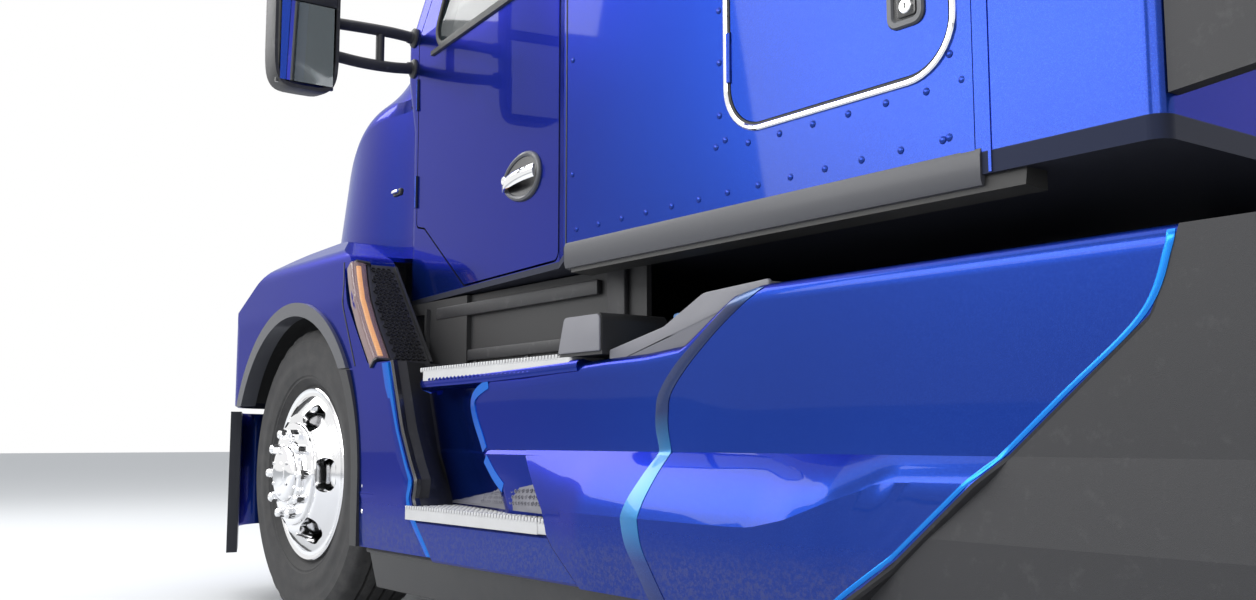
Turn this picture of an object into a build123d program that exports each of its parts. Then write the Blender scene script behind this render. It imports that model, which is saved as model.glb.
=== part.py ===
from build123d import *
import math
import os

# Tractor unit of a semi truck: conventional hood, raised-roof sleeper, tandem drive axles.
# Millimetres. +X forward, +Y left, +Z up, origin on the ground below the middle of the box.
# Lengths along X are given from the front axle, ahead positive, and fa() places them.

# Overall layout
X_FRONT_AXLE = 2720
X_TANDEM = -5300
TANDEM_SPREAD = 1320
X_FRAME_REAR = -6680
X_FRAME_FRONT = 1100
TRACK_FRONT = 2100
Y_DUAL_OUTER = 1085
GAP_MOVING = 6
FIT = 0.3
RUN = 0.05

# Wheels: section radii from the axle, widths across the tyre
TYRE_R = 510
TYRE_WIDTH = 290
TYRE_BORE_R = 286
RIM_FLANGE_R = 300
RIM_HALF_WIDTH = 118
DISC_OFFSET = 150
DISC_THICK = 22
HUB_PILOT_R = 110
DUAL_SPACING = 2 * (DISC_OFFSET + DISC_THICK)
HAND_HOLES = 6
HAND_HOLE_CIRCLE_R = 222
SPINDLE_R = 40
KINGPIN_Y = 930
KINGPIN_R = 24
STEER_ARM = 190
Z_AXLE = TYRE_R

# Frame
RAIL_OUT = 432
RAIL_HEIGHT = 270
RAIL_FLANGE = 89
RAIL_WALL = 9
Z_RAIL_TOP = 1010
Z_RAIL_BOTTOM = Z_RAIL_TOP - RAIL_HEIGHT

# Cab and sleeper
CAB_WALL = 45
Z_CAB_FLOOR = 1080
Z_BELT = 1935
Z_HEADER = 2850
X_COWL = -60
X_FIREWALL = -330
X_DOOR_FRONT = -430
X_DOOR_REAR = -1490
X_SLEEPER_FRONT = -1600
X_SLEEPER_REAR = -3240
Y_COWL = 975
Y_CAB_REAR = 1092
Y_SLEEPER = 1150
ROOF_TOP = 3900
GLASS_THICK = 8
Z_DOOR_BOTTOM = 1100
LUGGAGE_X = (-2250, -2850)
LUGGAGE_Z = (1285, 1900)
LUGGAGE_HINGES = (1420, 1720)
DOOR_HINGES = (1440, 1780)
HINGE_LENGTH = 60
BARREL_R = 7
BARREL_PIN_R = 3

# Hood, bumper and skirts
HOOD_WALL = 14
Z_HOOD_BOTTOM = 760
Z_SPLIT = 855
X_NOSE = 1225
X_HINGE = 1195
Z_HINGE = 800
HINGE_PIN_R = 14
Y_FENDER = 1235
FLARE_BAND = 48
ARCH_R = 598
ARCH_X = 15
ARCH_Z = 512
Z_BUMPER_TOP = 738
Z_BUMPER_BOTTOM = 270
X_BUMPER = 1260
SKIRT_WALL = 25
X_BULGE = -1641
Z_SKIRT_BOTTOM = 290
Z_LIP_BOTTOM = 170
TREAD_THICK = 30
Z_TREAD_LOW = 430
Z_TREAD_HIGH = 830

# Tanks, fifth wheel and steering wheel
TANK_R = 300
TANK_Y = 790
TANK_Z = 640
TANK_X = (-2230, -3330)
FIFTH_X = -5200
FIFTH_TOP = 1230
FIFTH_PIVOT_Z = 1150
FIFTH_HALF_WIDTH = 450
KINGPIN_THROAT_R = 25.8
JAW_LENGTH = 50
DECK_THICK = 22
PIVOT_PIN_R = 25
STEERING_POS = (-1010, 520, 1840)
STEERING_R = 225
STEERING_TILT = 35
POST_R = 14

nodes = {}


def fa(x):
    return X_FRONT_AXLE + x


def outline(rows):
    # rows: (first coordinate, second coordinate, corner radius)
    points = [(a, b) for a, b, r in rows]
    if any(r > 0 for a, b, r in rows):
        return make_face(FilletPolyline(*points, radius=[r for a, b, r in rows], close=True))
    return make_face(Polyline(*points, close=True))


def inset_face(face, inset):
    return offset(face, amount=-inset, kind=Kind.INTERSECTION) if inset else face


def prism_xz(rows, y0, y1, inset=0):
    face = inset_face(outline([(fa(x), z, r) for x, z, r in rows]), inset)
    return extrude(Plane((0, y0, 0), (1, 0, 0), (0, -1, 0)) * face, amount=y1 - y0, dir=(0, 1, 0))


def prism_xy(rows, z0, z1, inset=0):
    face = inset_face(outline([(fa(x), y, r) for x, y, r in rows]), inset)
    return extrude(Plane.XY.offset(z0) * face, amount=z1 - z0, dir=(0, 0, 1))


def prism_yz(rows, x0, x1, inset=0):
    face = inset_face(outline(rows), inset)
    return extrude(Plane((fa(x0), 0, 0), (0, 1, 0), (1, 0, 0)) * face, amount=x1 - x0, dir=(1, 0, 0))


def block(x0, x1, y0, y1, z0, z1):
    size = (abs(x1 - x0), abs(y1 - y0), abs(z1 - z0))
    return Pos(fa((x0 + x1) / 2), (y0 + y1) / 2, (z0 + z1) / 2) * Box(*size)


def rod_y(x, y0, y1, z, r):
    return Pos(fa(x), (y0 + y1) / 2, z) * Rot(90, 0, 0) * Cylinder(r, abs(y1 - y0))


def rod_z(x, y, z0, z1, r):
    return Pos(fa(x), y, (z0 + z1) / 2) * Cylinder(r, abs(z1 - z0))


def rod_x(x0, x1, y, z, r):
    return Pos(fa((x0 + x1) / 2), y, z) * Rot(0, 90, 0) * Cylinder(r, abs(x1 - x0))


def other_side(shape):
    return mirror(shape, about=Plane.XZ)


def both(shape):
    return [shape, other_side(shape)]


def mirrored_rows(rows):
    # closes a half outline, given from the front to the rear on the left side
    return rows + [(a, -b, r) for a, b, r in reversed(rows)]


def solids_of(shapes):
    found = []
    for shape in shapes:
        found += list(shape.solids())
    return found


def keep(name, *shapes):
    nodes[name] = solids_of(shapes)


# Wheels, built at the origin about the Y axis with their outer side towards +Y

def ring_y(rows):
    # rows: (radius, across, corner radius), turned about the wheel's axis
    return revolve(outline(rows), axis=Axis.Y)


def tyre():
    half = TYRE_WIDTH / 2
    bead = RIM_HALF_WIDTH - 13
    side = [(TYRE_BORE_R, bead), (RIM_FLANGE_R + 6, bead), (332, half - 12), (372, half - 1),
            (440, half), (482, half - 10), (502, half - 24), (TYRE_R, half - 40)]
    rows = [(r, -y, 0) for r, y in side] + [(r, y, 0) for r, y in reversed(side)]
    return ring_y(rows)


def rim_and_disc():
    bead = RIM_HALF_WIDTH - 13
    barrel = TYRE_BORE_R - FIT
    face = DISC_OFFSET + DISC_THICK
    rows = [(RIM_FLANGE_R, -RIM_HALF_WIDTH, 0), (RIM_FLANGE_R, -bead - 1, 0), (barrel, -bead - 1, 0),
            (barrel, -72, 0), (258, -48, 0), (258, 40, 0), (barrel, 66, 0), (barrel, bead + 1, 0),
            (RIM_FLANGE_R, bead + 1, 0), (RIM_FLANGE_R, RIM_HALF_WIDTH, 0), (272, RIM_HALF_WIDTH, 0),
            (248, 138, 20), (202, face, 26), (HUB_PILOT_R, face, 0), (HUB_PILOT_R, DISC_OFFSET, 0),
            (190, DISC_OFFSET, 24), (228, 122, 0), (244, 60, 0), (244, -54, 0),
            (272, -84, 0), (272, -RIM_HALF_WIDTH, 0)]
    hole = extrude(Plane.XZ * SlotCenterToCenter(44, 72), amount=200, both=True)
    holes = [Rot(0, 360 / HAND_HOLES * i, 0) * Pos(HAND_HOLE_CIRCLE_R, 0, 0) * Rot(0, 90, 0) * hole
             for i in range(HAND_HOLES)]
    return ring_y(rows) - holes


def steer_wheel():
    face = DISC_OFFSET + DISC_THICK
    bore = SPINDLE_R + RUN
    hub = ring_y([(bore, -36, 0), (86, -36, 0), (86, 90, 0), (178, 128, 0), (178, DISC_OFFSET, 0),
                  (HUB_PILOT_R - 2, DISC_OFFSET, 0), (HUB_PILOT_R - 2, face + 6, 0), (95, face + 6, 0),
                  (90, face + 32, 26), (0, face + 40, 0), (0, face - 28, 0), (bore, face - 28, 0)])
    drum = ring_y([(178, 128, 0), (212, 110, 0), (212, -30, 0), (198, -30, 0), (198, 92, 0),
                   (150, 112, 0), (150, 128, 0)])
    return rim_and_disc() + [hub, drum]


def dual_wheels():
    # the outer wheel is turned about, so that both discs bolt up against the hub's flange
    rim = rim_and_disc()
    outer = Pos(0, DUAL_SPACING, 0) * Rot(0, 0, 180) * rim
    mate = DUAL_SPACING / 2
    end = mate + 190
    bore = SPINDLE_R + 10 + RUN
    hub = ring_y([(bore, -40, 0), (96, -40, 0), (96, 118, 0), (180, 118, 0),
                  (180, mate - DISC_THICK, 0), (HUB_PILOT_R - 2, mate - DISC_THICK, 0),
                  (HUB_PILOT_R - 2, mate + 60, 0), (88, mate + 70, 0), (86, end, 8),
                  (0, end, 0), (0, end - 30, 0), (bore, end - 30, 0)])
    drum = ring_y([(180, 118, 0), (180, 134, 0), (212, 134, 0), (212, -60, 0), (198, -60, 0),
                   (198, 118, 0)])
    return rim + [outer, hub, drum]


# name, x from the front axle, y of the tyre's middle, side (1 left, -1 right)
steer_places = [("front_left", 0, TRACK_FRONT / 2, 1), ("front_right", 0, -TRACK_FRONT / 2, -1)]
drive_x = {"drive1": X_TANDEM + TANDEM_SPREAD / 2, "drive2": X_TANDEM - TANDEM_SPREAD / 2}


def make_wheels():
    front_tyre, front_rim = tyre(), steer_wheel()
    twin_rim = dual_wheels()
    twin_tyres = [front_tyre, Pos(0, DUAL_SPACING, 0) * front_tyre]
    y_inner = Y_DUAL_OUTER - DUAL_SPACING
    for name, x, y, side in steer_places:
        turn = Rot(0, 0, 0 if side > 0 else 180)
        keep(name + "_tyre", Pos(fa(x), y, Z_AXLE) * turn * front_tyre)
        keep(name + "_rim", Pos(fa(x), y, Z_AXLE) * turn * front_rim)
    for axle, x in drive_x.items():
        for side_name, side in (("left", 1), ("right", -1)):
            place = Pos(fa(x), side * y_inner, Z_AXLE) * Rot(0, 0, 0 if side > 0 else 180)
            keep(axle + "_" + side_name + "_tyres", *[place * t for t in twin_tyres])
            keep(axle + "_" + side_name + "_rims", place * twin_rim)


# Cab and sleeper shell: level sections below the header, upright sections for the roof

# z, x at the middle of the front, x at its corners, half width in front, behind the door, sleeper
cab_levels = [
    (Z_CAB_FLOOR, X_FIREWALL, X_FIREWALL - 5, Y_COWL, Y_CAB_REAR, Y_SLEEPER),
    (1690, X_FIREWALL, X_FIREWALL - 5, Y_COWL, Y_CAB_REAR, Y_SLEEPER),
    (1880, X_COWL, X_COWL - 250, Y_COWL, Y_CAB_REAR, Y_SLEEPER),
    (2010, X_COWL, X_COWL - 250, Y_COWL, Y_CAB_REAR, Y_SLEEPER),
    (Z_HEADER, X_COWL - 590, X_COWL - 800, Y_COWL - 40, Y_CAB_REAR - 30, Y_SLEEPER - 10),
]
# x, top, half width of the top, corner radius
roof_stations = [
    (-560, 2945, 880, 60),
    (-1250, 3340, 900, 140),
    (-1900, 3720, 940, 200),
    (-2650, 3885, 960, 220),
    (X_SLEEPER_REAR, ROOF_TOP, 960, 220),
]


def cab_plan(level, inset):
    z, x_mid, x_corner, y_front, y_door, y_rear = level
    half = [(x_mid - inset, 380, 700), (x_corner - inset, y_front - inset, 90),
            (X_DOOR_REAR, y_door - inset, 0), (X_SLEEPER_FRONT, y_rear - inset, 0),
            (X_SLEEPER_REAR + inset, y_rear - inset, 30)]
    return outline([(fa(x), y, r) for x, y, r in mirrored_rows(half)])


def cab_form(inset):
    # the outer form, or the same form drawn inwards by a wall's thickness
    faces = []
    for i, level in enumerate(cab_levels):
        z = level[0] + (inset if i == 0 else 0)
        faces.append(Plane.XY.offset(z) * cab_plan(level, inset))
    lower = loft(faces, ruled=True)
    base = Z_HEADER - 12
    faces = []
    for i, (x, top, half, r) in enumerate(roof_stations):
        rows = [(-Y_SLEEPER - 5, base, 0), (Y_SLEEPER + 5, base, 0), (half - inset, top - inset, r),
                (inset - half, top - inset, r)]
        if i == len(roof_stations) - 1:
            x = x + inset
        faces.append(Plane((fa(x), 0, 0), (0, 1, 0), (1, 0, 0)) * outline(rows))
    roof = loft(faces)
    plan = extrude(Plane.XY.offset(base) * cab_plan(cab_levels[-1], inset), amount=ROOF_TOP)
    return lower + (roof & plan)


def side_y(x):
    # the cab side's outer half width at x, between the cowl corner and the door's rear edge
    x0 = cab_levels[2][2]
    return Y_COWL + (Y_CAB_REAR - Y_COWL) * (x - x0) / (X_DOOR_REAR - x0)


door_rows = [(X_DOOR_FRONT, 1345, 25), (X_DOOR_FRONT, 2010, 60), (-985, 2795, 60),
             (X_DOOR_REAR, 2795, 60), (X_DOOR_REAR, Z_DOOR_BOTTOM, 30), (-850, Z_DOOR_BOTTOM, 30),
             (-505, 1330, 40)]
window_rows = [(-575, Z_BELT, 50), (-1045, 2735, 50), (X_DOOR_REAR + 62, 2735, 50),
               (X_DOOR_REAR + 62, Z_BELT, 50)]
windshield_rows = [(-875, 2035, 70), (875, 2035, 70), (800, 2785, 70), (-800, 2785, 70)]
luggage_rows = [(LUGGAGE_X[0], LUGGAGE_Z[0], 100), (LUGGAGE_X[0], LUGGAGE_Z[1], 100),
                (LUGGAGE_X[1], LUGGAGE_Z[1], 100), (LUGGAGE_X[1], LUGGAGE_Z[0], 100)]
Y_INSIDE = 850
Y_OUTSIDE = 1320


def hinge(x, y, z):
    # a barrel on the moving panel, a knuckle with the pin above and below it, and room for each
    leaf = rod_z(x, y, z, z + HINGE_LENGTH, BARREL_R) - rod_z(x, y, z, z + HINGE_LENGTH, BARREL_PIN_R + RUN)
    top = z + HINGE_LENGTH
    knuckles = rod_z(x, y, z - 25, z - FIT, BARREL_R) + rod_z(x, y, top + FIT, top + 25, BARREL_R)
    knuckles += rod_z(x, y, z - 25, top + 25, BARREL_PIN_R)
    leaf_room = rod_z(x, y, z - FIT, top + FIT, BARREL_R + 1.5)
    knuckle_room = [rod_z(x, y, z - 27, z, BARREL_R + 1.5), rod_z(x, y, top, top + 27, BARREL_R + 1.5)]
    return leaf, knuckles, leaf_room, knuckle_room


def make_cab():
    outer, inner = cab_form(0), cab_form(CAB_WALL)
    glass_shell = outer - cab_form(GLASS_THICK)
    door_hole = prism_xz(door_rows, Y_INSIDE, Y_OUTSIDE)
    luggage_hole = prism_xz(luggage_rows, Y_INSIDE, Y_OUTSIDE)
    front = block(X_SLEEPER_FRONT, 200, -1400, 1400, 1000, 4000)
    rear = block(X_SLEEPER_REAR - 200, X_SLEEPER_FRONT, -1400, 1400, 1000, 4000)
    cab_walls = (outer & front) - inner
    sleeper_walls = (outer & rear) - inner
    shield_hole = prism_yz(windshield_rows, -950, 200)
    cab = cab_walls - [door_hole, other_side(door_hole), shield_hole]
    sleeper = sleeper_walls - [luggage_hole, other_side(luggage_hole)]
    luggage = sleeper_walls & prism_xz(luggage_rows, Y_INSIDE, Y_OUTSIDE, GAP_MOVING)
    for z in LUGGAGE_HINGES:
        leaf, knuckles, leaf_room, knuckle_room = hinge(LUGGAGE_X[0], Y_SLEEPER, z)
        sleeper = sleeper - [leaf_room, other_side(leaf_room)] + [knuckles, other_side(knuckles)]
        luggage = luggage - knuckle_room + leaf
    keep("sleeper_shell", sleeper)
    keep("windshield", glass_shell & prism_yz(windshield_rows, -950, 200, FIT))

    panel = cab_walls & prism_xz(door_rows, Y_INSIDE, Y_OUTSIDE, GAP_MOVING)
    door = panel - prism_xz(window_rows, Y_INSIDE, Y_OUTSIDE)
    for z in DOOR_HINGES:
        leaf, knuckles, leaf_room, knuckle_room = hinge(X_DOOR_FRONT, side_y(X_DOOR_FRONT), z)
        cab = cab - [leaf_room, other_side(leaf_room)] + [knuckles, other_side(knuckles)]
        door = door - knuckle_room + leaf
    keep("cab_shell", cab)
    pane = glass_shell & prism_xz(window_rows, Y_INSIDE, Y_OUTSIDE, FIT)
    for side, turn in (("left", False), ("right", True)):
        for name, shape in (("door_", door), ("door_glass_", pane), ("luggage_door_", luggage)):
            keep(name + side, other_side(shape) if turn else shape)


# Hood: a nose lofted from upright sections, and two fenders cut from three outlines each

# x, y and z of the side's widest line, of the shoulder and of the top's edge
hood_stations = [
    (-420, 955, 1400, 912, 1900, 740, 2062),
    (150, 925, 1380, 880, 1885, 700, 2020),
    (500, 862, 1350, 812, 1800, 620, 1945),
    (720, 785, 1300, 735, 1660, 540, 1830),
    (950, 665, 1240, 615, 1470, 420, 1610),
    (1120, 550, 1180, 505, 1330, 330, 1455),
    (X_NOSE, 485, 1120, 440, 1245, 280, 1345),
]
fender_side_rows = [(-675, Z_SPLIT, 0), (-360, 1240, 120), (60, 1366, 450), (400, 1335, 260),
                    (690, 1095, 250), (1090, 978, 120), (1190, Z_HOOD_BOTTOM, 0),
                    (0, Z_HOOD_BOTTOM, 0), (0, Z_SPLIT, 0)]
fender_front_rows = [(450, Z_HOOD_BOTTOM, 0), (Y_FENDER, Z_HOOD_BOTTOM, 0), (Y_FENDER, 1075, 140),
                     (1182, 1264, 105), (1020, 1362, 150), (880, 1430, 0), (450, 1430, 0)]
fender_plan_rows = [(-675, Y_FENDER, 0), (300, Y_FENDER, 0), (612, Y_FENDER, 150),
                    (1045, 1070, 250), (1180, 740, 180), (1205, 450, 0), (-675, 450, 0)]


def arch(r, z_low):
    # a round arch over the wheel, straight below its middle
    x0, x1, top = ARCH_X - r, ARCH_X + r, ARCH_Z + r
    return [(x0, z_low, 0), (x0, top, r - 0.5), (x1, top, r - 0.5), (x1, z_low, 0)]


arch_outer_rows = arch(ARCH_R, 200)
arch_rows = arch(ARCH_R - FLARE_BAND, 150)
# the hood's rear edge in plan, 12 mm ahead of the cowl, with room for the cab's sides
cowl_cut_rows = [(X_COWL + 12, 385, 700), (X_COWL - 240, 962, 0), (X_COWL - 246, 1035, 0),
                 (-760, 1035, 0)]
light_bar_rows = [(-372, 1205, 6), (-655, 864, 6), (-616, 864, 6), (-338, 1199, 6)]
headlamp_rows = [(740, 905, 30), (1130, 925, 30), (1175, 1080, 40), (800, 1060, 30)]
grille_rows = [(-400, 835, 30), (400, 835, 30), (350, 1275, 40), (-350, 1275, 40)]


def hood_nose(inset, drop=0):
    faces = []
    for i, (x, b1, z1, b2, z2, b3, z3) in enumerate(hood_stations):
        t = inset
        x = x - (t if i == len(hood_stations) - 1 else 0)
        half = [(b1 - t - 6, Z_HOOD_BOTTOM - drop, 0), (b1 - t, z1, 200), (b2 - t, z2 - t, 110),
                (b3 - t, z3 - t, 120)]
        rows = half + [(-a, b, r) for a, b, r in reversed(half)]
        faces.append(Plane((fa(x), 0, 0), (0, 1, 0), (1, 0, 0)) * outline(rows))
    return loft(faces)


def fender(inset):
    y0, y1 = 450 + inset, Y_FENDER + 10
    body = prism_xz(fender_side_rows, y0, y1, inset) & prism_xy(fender_plan_rows, 700, 1450, inset)
    body = body & prism_yz(fender_front_rows, -700, 1250, inset)
    if inset:
        body += prism_xy(fender_plan_rows, 700, Z_SPLIT + inset + 1, inset)
    return body


def make_hood():
    outer_fender = fender(0)
    inner_fender = fender(HOOD_WALL)
    lamp_space = outer_fender - fender(60)
    outer = hood_nose(0) + [outer_fender, other_side(outer_fender)]
    inner = hood_nose(HOOD_WALL, drop=80) + [inner_fender, other_side(inner_fender)]
    wheel_room = prism_xz(arch_outer_rows, 440, 1300)
    cowl = prism_xy(mirrored_rows(cowl_cut_rows), 700, 2200)
    shell = outer - [inner, cowl, wheel_room, other_side(wheel_room)]

    bar = outer_fender & prism_xz(light_bar_rows, Y_FENDER - 36, Y_FENDER + 20)
    lamp_hole = prism_yz(headlamp_rows, 700, 1300)
    lamp = lamp_space & prism_yz(headlamp_rows, 700, 1300, FIT)
    grille_hole = prism_yz(grille_rows, X_NOSE - 60, X_NOSE + 60)
    shell = shell - [bar, other_side(bar), lamp_hole, other_side(lamp_hole), grille_hole]
    for side in (1, -1):
        shell += rod_y(X_HINGE, side * 405, side * 460, Z_HINGE, 26)
        shell -= rod_y(X_HINGE, side * 340, side * 404, Z_HINGE, 27)
        shell -= rod_y(X_HINGE, side * 390, side * 470, Z_HINGE, HINGE_PIN_R + RUN)
    keep("hood_shell", shell)
    keep("side_lamps", *both(bar))
    keep("headlamps", *both(lamp))

    frame = prism_yz(grille_rows, X_NOSE - 34, X_NOSE - 6, FIT)
    frame -= prism_yz(grille_rows, X_NOSE - 40, X_NOSE, 26)
    bars = [block(X_NOSE - 30, X_NOSE - 12, -390, 390, z, z + 12) for z in range(890, 1250, 48)]
    bars += [block(X_NOSE - 34, X_NOSE - 14, y - 8, y + 8, 840, 1270) for y in (-140, 140)]
    bars = [b & prism_yz(grille_rows, X_NOSE - 50, X_NOSE, 20) for b in bars]
    keep("grille", frame + bars)

    band = prism_xz(arch_outer_rows, Y_FENDER - 45, Y_FENDER + 12, FIT)
    band -= prism_xz(arch_rows, Y_FENDER - 60, Y_FENDER + 30)
    upper = band - [block(-700, 0, 1100, 1300, 100, Z_SPLIT + 3), block(0, 700, 1100, 1300, 100, 757)]
    keep("arch_flares", *both(upper))


# Bumper
bumper_rows = [(X_BUMPER, 480, 250), (1085, 1080, 260), (612, 1250, 0)]
X_BUMPER_SPLIT = 905


def make_bumper():
    ring = prism_xy(mirrored_rows(bumper_rows), Z_BUMPER_BOTTOM, Z_BUMPER_TOP)
    ring -= prism_xy(mirrored_rows(bumper_rows), Z_BUMPER_BOTTOM - 10, Z_BUMPER_TOP + 10, 40)
    middle = ring & block(X_BUMPER_SPLIT, 1400, -1300, 1300, 0, 1000)
    middle -= [prism_yz([(-420, 330, 30), (420, 330, 30), (380, 520, 30), (-380, 520, 30)], 1100, 1300)]
    lamp_rows = [(600, 400, 30), (840, 400, 30), (840, 500, 30), (600, 500, 30)]
    lamp_hole = prism_yz(lamp_rows, 1000, 1300)
    lamp = middle & prism_yz(lamp_rows, 1000, 1300, FIT)
    keep("bumper", middle - [lamp_hole, other_side(lamp_hole)])
    keep("fog_lamps", *both(lamp))
    end = prism_xy(mirrored_rows(bumper_rows), Z_LIP_BOTTOM + 20, Z_BUMPER_TOP)
    end -= prism_xy(mirrored_rows(bumper_rows), 100, Z_BUMPER_TOP + 10, 40)
    end = end & block(655, X_BUMPER_SPLIT, 900, 1300, 0, 1000)
    keep("bumper_ends", *both(end))


# Step wells, treads, skirts and tail fairings, all drawn for the left side

def make_sides():
    y_wall = 985
    back = block(-1755, -604, y_wall, y_wall + 15, 300, 1074)
    guard = block(-604, -590, 470, 1028, 300, 1050) - block(-610, -580, 400, 600, 700, 1100)
    guard += block(-604, -590, 1027, 1204, 300, Z_SPLIT - GAP_MOVING)
    tail_wall = block(-1755, -1740, y_wall, 1160, 300, 800)
    box = block(-1740, -604, RAIL_OUT, y_wall, 330, 800)
    lower_band = prism_xz(arch_outer_rows, Y_FENDER - 45, Y_FENDER + 12)
    lower_band -= prism_xz(arch_rows, Y_FENDER - 60, Y_FENDER + 30)
    lower_band = lower_band & block(-700, -400, 1100, 1300, 300, Z_SPLIT - 3)
    link = block(-604, -560, Y_FENDER - 45, Y_FENDER - 31, 300, Z_SPLIT - 3)
    corner_panel = prism_xz([(-345, 1036, 0), (-345, 1330, 20), (-500, 1322, 20), (-850, 1094, 0),
                             (-850, Z_SPLIT, 0), (-604, Z_SPLIT, 0), (-604, 1036, 0)],
                            y_wall + 15, y_wall + 30)
    corner_panel = corner_panel & block(-900, -345, 900, 1100, 800, 1074)
    block_guard = prism_xz([(-1655, 830, 0), (-1680, 930, 20), (-1838, 930, 20), (-1838, 830, 0)],
                           1000, 1195)
    shoulder = prism_xz([(-1845, 800, 0), (-1845, 835, 0), (-2050, 875, 60), (-2190, 938, 60),
                         (-2395, 948, 0), (-2395, 905, 0), (-2210, 900, 0), (-2060, 835, 0),
                         (-1960, 800, 0)], 1060, 1167.4)
    well = back + [guard, tail_wall, box, lower_band, link, corner_panel, block_guard]
    keep("step_wells", *both(well), *both(shoulder))

    high = prism_xy([(-880, 1000, 0), (-900, 1195, 25), (-1700, 1195, 10), (-1700, 1000, 0)],
                    Z_TREAD_HIGH - TREAD_THICK, Z_TREAD_HIGH)
    low = prism_xy([(-905, 1000, 0), (-905, 1248, 25), (X_BULGE + 1, 1248, 0), (X_BULGE + 1, 1000, 0)],
                   Z_TREAD_LOW - TREAD_THICK, Z_TREAD_LOW)
    keep("step_treads", *both(high), *both(low))

    extension = prism_xz([(-400, Z_SPLIT - 3, 0), (-400, 300, 0), (-1030, 300, 0), (-835, 450, 60),
                          (-725, Z_SPLIT - 3, 0)], Y_FENDER - 30, Y_FENDER)
    extension -= prism_xz(arch_outer_rows, 1100, 1300, -FIT)
    # a wall of the toe recess, from the well's front to the flush skirt: x, y on its outer face
    upper_path = [(-900, 1018.3), (-1060, 1070), (-1190, 1100), (-1235, 1192), (X_BULGE + 1, 1192)]
    lower_path = [(-900, 1018.3), (-1050, 1060), (X_BULGE + 1, 1070)]
    panels = []
    for path, z0, z1 in ((upper_path, 585, Z_TREAD_HIGH - TREAD_THICK),
                         (lower_path, Z_TREAD_LOW, 600)):
        rows = [(x, y, 0) for x, y in path] + [(x, y - 18, 0) for x, y in reversed(path)]
        panels.append(prism_xy(rows, z0, z1))
    ledge_rows = [(x, y, 0) for x, y in upper_path] + [(x, y - 12, 0) for x, y in reversed(lower_path)]
    ledge = prism_xy(ledge_rows, 585, 600)
    low_panel = block(X_BULGE + 1, -1030, 1215, 1240, Z_SKIRT_BOTTOM, Z_TREAD_LOW - TREAD_THICK)
    low_panel += prism_xz([(-1035, 290, 0), (-885, 396, 0), (-1035, 396, 0)], 1215, 1240)
    step_skirt = panels[0] + [panels[1], ledge]
    # x, top, crest's half width, half width at the foot
    skirt_stations = [
        (-1480, 799, 1246, 1240),
        (-1705, 799, 1262, 1247),
        (-1741, 822, 1266, 1250),
        (-1845, 828, 1278, 1256),
        (-2400, 942, 1285, 1262),
        (-2600, 942, 1285, 1262),
        (-2800, 942, 1212, 1205),
        (-3290, 942, 1205, 1198),
    ]
    skirt = ruled_skirt(skirt_stations)
    split = [(-3277, 1000, 0), (-3277, 940, 0), (-3228, 810, 60), (-2570, 280, 0), (X_BULGE, 280, 0),
             (X_BULGE, Z_TREAD_LOW + 1, 0), (-1490, 584, 0), (X_BULGE, 584, 0), (X_BULGE, 1000, 0)]
    # the slanted wall that closes the bulge towards the toe recess
    toe_wall = ruled_skirt(skirt_stations, 120) & prism_xz(
        [(X_BULGE, Z_TREAD_LOW + 1, 0), (-1490, 584, 0), (-1508, 584, 0), (X_BULGE - 18, Z_TREAD_LOW + 1, 0)],
        1071, 1400)
    rear_skirt = (skirt & prism_xz(split, 1000, 1400)) + toe_wall
    panels = [extension, step_skirt, low_panel, rear_skirt]
    keep("side_skirts", *[p for panel in panels for p in both(panel)])
    tail = ruled_skirt([(-2500, 938, 1200, 1193), (-3400, 938, 1200, 1193), (-4030, 938, 1200, 1193)])
    tail_room = [(-3277, 1000, 0), (-3277, 940, 0), (-3228, 810, 60), (-2570, 280, 0), (-2400, 280, 0),
                 (-2400, 1000, 0)]
    keep("tail_fairings", *both(tail - prism_xz(tail_room, 1000, 1400, -4)))

    lip = prism_yz([(1150, Z_LIP_BOTTOM, 0), (1172, Z_LIP_BOTTOM, 8), (1200, Z_SKIRT_BOTTOM, 0),
                    (1178, Z_SKIRT_BOTTOM, 0)], -4030, ARCH_X - ARCH_R)
    keep("lower_lips", *both(lip))


def ruled_skirt(stations, wall=SKIRT_WALL):
    faces = []
    for x, top, crest, foot in stations:
        path = [(1196, top), (1188, 602), (crest, 462), (foot, Z_SKIRT_BOTTOM)]
        rows = [(y, z, 0) for y, z in path] + [(y - wall, z, 0) for y, z in reversed(path)]
        faces.append(Plane((fa(x), 0, 0), (0, 1, 0), (1, 0, 0)) * outline(rows))
    return loft(faces, ruled=True)


def make_tanks():
    tank = rod_x(TANK_X[0], TANK_X[1], TANK_Y, TANK_Z, TANK_R)
    tank = fillet(tank.edges().filter_by(GeomType.CIRCLE), 40)
    bracket_rows = [(RAIL_OUT, 320, 0), (RAIL_OUT, 900, 0), (RAIL_OUT + 60, 900, 0),
                    (RAIL_OUT + 110, 620, 0), (TANK_Y, 420, 0), (1090, 470, 0), (1150, 640, 0),
                    (1163, 640, 0), (1163, 320, 0)]
    brackets = [prism_yz(bracket_rows, x, x + 40) for x in (-2420, -2880, -3240)]
    fluid = block(-1800, -2150, RAIL_OUT, 1060, 480, 800)
    cap = rod_z(-1950, 1010, 800, 845, 48)
    fluid_arm = block(-1960, -2000, 1060, 1163, 500, 560)
    tail_arms = [block(-3700, -3740, RAIL_OUT, 1163, 600, 660)]
    left = tank + brackets
    keep("fuel_tanks", *both(left), fluid + [cap, fluid_arm], *both(tail_arms[0]),
         other_side(fluid + [fluid_arm]))


# Chassis: frame, axles, suspension, engine and what the cab stands on

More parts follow.
